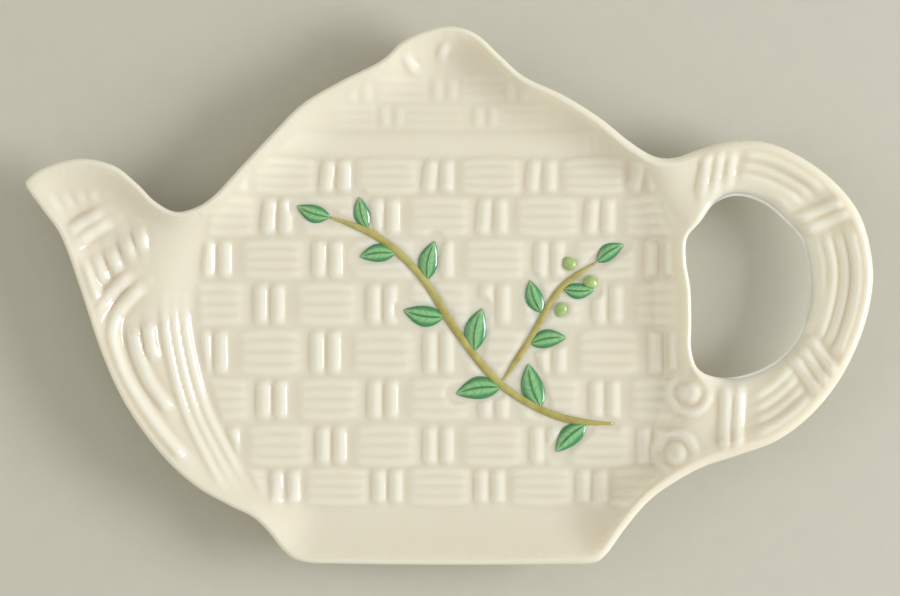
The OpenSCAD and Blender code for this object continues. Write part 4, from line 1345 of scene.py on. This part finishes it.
def make_glaze():
    """The white glaze of the casting, which reads where it pools from the mesh."""
    material, tree, shader = new_material("white_glaze")
    pool_at = add_node(tree, "Attribute", {}, attribute_name="pool")
    tone = place_group(tree, cloudy, {"Thin": colour(244, 240, 224), "Thick": colour(232, 224, 202),
                                      "Pool": pool_at.outputs["Fac"], "Drift": 0.3, "Scale": 45.0})
    wave = place_group(tree, wavy, {"Scale": 420.0})
    feed(tree, shader, {
        "Base Color": tone["Colour"], "Normal": bump(tree, wave["Height"], 0.02 * mm, 0.35),
        "Subsurface Weight": 0.7, "Subsurface Radius": (1.0, 0.85, 0.65), "Subsurface Scale": 2.2 * mm,
        "Roughness": 0.14, "Coat Weight": 0.9, "Coat Roughness": 0.03,
    })
    return material


glaze = make_glaze()
casting.data.materials.append(glaze)
print("glaze:", glaze.name, "with", len(glaze.node_tree.nodes), "nodes")

# %% [markdown]
# ## Enamels and bare clay
# The green enamel is brushed: pale along the middle of a leaf, dark at its edge, with strokes that
# run out from the middle rib. The strokes read each leaf's own UV map. The foot is bare, matt,
# speckled clay.

# %% Leaf, rib, stem, bud and clay materials
def make_leaf_enamel():
    """Brushed enamel: noise stretched along the strokes, darker towards the leaf's edge."""
    material, tree, shader = new_material("brushed_green_enamel")
    uv = add_node(tree, "UVMap", {}, uv_map="UVMap")
    split = add_node(tree, "SeparateXYZ", {0: uv.outputs["UV"]}).outputs
    away = sum_of(tree, "ABSOLUTE", sum_of(tree, "SUBTRACT", split["Y"], 0.5))
    lean = sum_of(tree, "MULTIPLY_ADD", away, -0.55, split["X"])
    strokes_at = add_node(tree, "CombineXYZ", {"X": lean, "Y": away}).outputs[0]
    stretch = add_node(tree, "Mapping", {"Vector": strokes_at, "Scale": (16, 1.2, 1)}).outputs[0]
    strokes = add_node(tree, "TexNoise", {"Vector": stretch, "Scale": 1.6, "Detail": 2}).outputs["Fac"]
    edge = add_node(tree, "MapRange", {"Value": away, "From Min": 0.22, "From Max": 0.5}).outputs[0]
    ramp = add_node(tree, "ValToRGB", {"Fac": sum_of(tree, "MULTIPLY_ADD", strokes, 0.9, edge)})
    tones = ramp.color_ramp.elements
    tones[0].position, tones[0].color = 0.3, colour(158, 205, 142)
    tones[1].position, tones[1].color = 1.0, colour(62, 142, 84)
    tones.new(0.6).color = colour(116, 184, 118)
    feed(tree, shader, {"Base Color": ramp.outputs["Color"], "Normal": bump(tree, strokes, 0.04 * mm, 0.5),
                        "Roughness": 0.16, "Coat Weight": 0.9, "Coat Roughness": 0.04})
    return material


def make_drifting(name, thin, thick, scale, roughness, coat, wave_scale, depth):
    """A finish that drifts between two tones, with a fine surface of its own."""
    material, tree, shader = new_material(name)
    tone = place_group(tree, cloudy, {"Thin": thin, "Thick": thick, "Drift": 1.6, "Scale": scale})
    wave = place_group(tree, wavy, {"Scale": wave_scale})
    feed(tree, shader, {"Base Color": tone["Colour"], "Normal": bump(tree, wave["Height"], depth, 0.5),
                        "Roughness": roughness, "Coat Weight": coat})
    return material


leaf_enamel = make_leaf_enamel()
rib_enamel = make_drifting("deep_green_enamel", colour(88, 160, 96), colour(48, 122, 72),
                           900.0, 0.2, 0.4, 800.0, 0.02 * mm)
stem_enamel = make_drifting("olive_enamel", colour(205, 198, 122), colour(160, 148, 62),
                            420.0, 0.22, 0.4, 700.0, 0.02 * mm)
bud_enamel = make_drifting("pale_green_enamel", colour(196, 214, 140), colour(128, 178, 96),
                           900.0, 0.2, 0.4, 800.0, 0.02 * mm)
bare_clay = make_drifting("unglazed_clay", colour(222, 214, 196), colour(196, 184, 160),
                          700.0, 0.85, 0.0, 2600.0, 0.06 * mm)
finishes = ((leaf_pieces, leaf_enamel), (rib_pieces, rib_enamel), ([stem, twig], stem_enamel),
            (bud_pieces, bud_enamel), ([foot], bare_clay))
for pieces, material in finishes:
    for piece in pieces:
        piece.data.materials.append(material)
print("finishes:", [material.name for _, material in finishes])

# %% [markdown]
# ## Ride and replace
# Every piece rides on the one body, and the CAD nodes that it dresses are hidden. The one casting
# takes the place of the clay members and of their relief, because the real tray is cast in one.

# %% Ride on the frame
clay_nodes = ["bowl", "spout", "handle", "lid_band", "floor_weavers", "floor_stakes", "wall_weavers",
              "wall_stakes", "lid_weavers", "lid_stakes", "collar_ribs", "mouth_ribs", "spout_withies",
              "spout_wraps", "handle_withies", "handle_wraps", "scroll_curls", "knob_curls"]
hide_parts(*clay_nodes)
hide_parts("foot_ring")
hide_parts("vine_stem")
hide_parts("vine_twig")
for pieces, node, slot in ((leaf_pieces, "vine_leaves", "leaf_enamel"),
                           (rib_pieces, "leaf_ribs", "dark_leaf_enamel"),
                           (bud_pieces, "vine_buds", "leaf_enamel"), ([stem, twig], None, "stem_enamel")):
    for piece in pieces:
        if node:
            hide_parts(node)
all_pieces = [casting, foot, stem, twig] + leaf_pieces + rib_pieces + bud_pieces
for piece in all_pieces:
    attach(piece, "root")
print("pieces:", len(all_pieces))

# %% [markdown]
# ## Floor, light and camera
# A pale grey-green floor, lit as in a small studio: a soft key lamp at the right, a smaller one
# beside it that adds a second glint, a weak broad lamp at the left and a pale sky. The key stands
# low enough to draw each rib and to throw the soft shadow at the tray's left. The camera looks
# straight down, as in a catalogue picture.

# %% Floor
def make_floor():
    """A sheet of matt paper, faintly uneven in tone."""
    deselect()
    bpy.ops.mesh.primitive_plane_add(size=8)
    piece = named("studio_floor")
    material, tree, shader = new_material("floor_paper")
    mix = add_node(tree, "Mix", {0: noise_in(tree, Scale=260, Detail=4)}, data_type="RGBA")
    feed(tree, mix, {6: colour(202, 200, 187), 7: colour(208, 205, 192)})
    feed(tree, shader, {"Base Color": mix.outputs[2], "Roughness": 0.9, "Specular IOR Level": 0.1})
    piece.data.materials.append(material)
    print("floor:", piece.name)


make_floor()

# %% Light
def lamp_spot(far, up, turn):
    """A place so far from the tray, so many degrees above the table and round from the right."""
    up, turn = math.radians(up), math.radians(turn)
    return far * math.cos(up) * math.cos(turn), far * math.cos(up) * math.sin(turn), far * math.sin(up)


key_far = 0.9
key_tint = (0.975, 0.99, 1.04)
fill_tint = (1, 0.985, 0.93)
lamps = [
    ("key", lamp_spot(key_far, 25, -6), (0.36, 0.34), 5.8, key_tint),
    ("key_side", lamp_spot(key_far, 27, 12), (0.16, 0.16), 0.9, key_tint),
    ("fill", (-0.9, 0, 0.63), (1.0, 0.8), 2.2, fill_tint),
]


def add_lamp(name, place, size, power, tint):
    """A rectangular area light that faces the tray."""
    lamp = bpy.data.lights.new(name, "AREA")
    lamp.shape = "RECTANGLE"
    lamp.size, lamp.size_y = size
    lamp.energy = power
    lamp.color = tint
    holder = bpy.data.objects.new(name, lamp)
    bpy.context.collection.objects.link(holder)
    holder.location = place
    holder.rotation_euler = (Vector() - Vector(place)).to_track_quat("-Z", "Y").to_euler()


def make_sky():
    """A plain pale sky, which fills the shadows."""
    world = bpy.data.worlds.new("studio")
    bpy.context.scene.world = world
    world.use_nodes = True
    sky = world.node_tree.nodes["Background"]
    feed(world.node_tree, sky, {"Color": (1.0, 0.98, 0.9, 1), "Strength": 0.51})


for lamp in lamps:
    add_lamp(*lamp)
make_sky()
print("lamps:", [name for name, *_ in lamps])

# %% Camera
def make_camera():
    """Straight above, framed so that the outline lies where the picture has it."""
    picture_w, tray_px = 900, 848
    lens, sensor = 200.0, 36.0
    field = picture_w * tray_l / tray_px
    away = field * lens / sensor
    data = bpy.data.cameras.new("camera")
    data.lens, data.sensor_width = lens, sensor
    data.clip_start, data.clip_end = 0.05, 20
    camera = bpy.data.objects.new("camera", data)
    bpy.context.collection.objects.link(camera)
    below = 2.75 * tray_l / tray_px
    camera.location = (0.5 * tray_l / tray_px, -below, rim_h - lip_r + away)
    bpy.context.scene.camera = camera
    print("camera %.2f m above the table" % camera.location.z)


make_camera()
bpy.context.scene.view_settings.view_transform = "Standard"
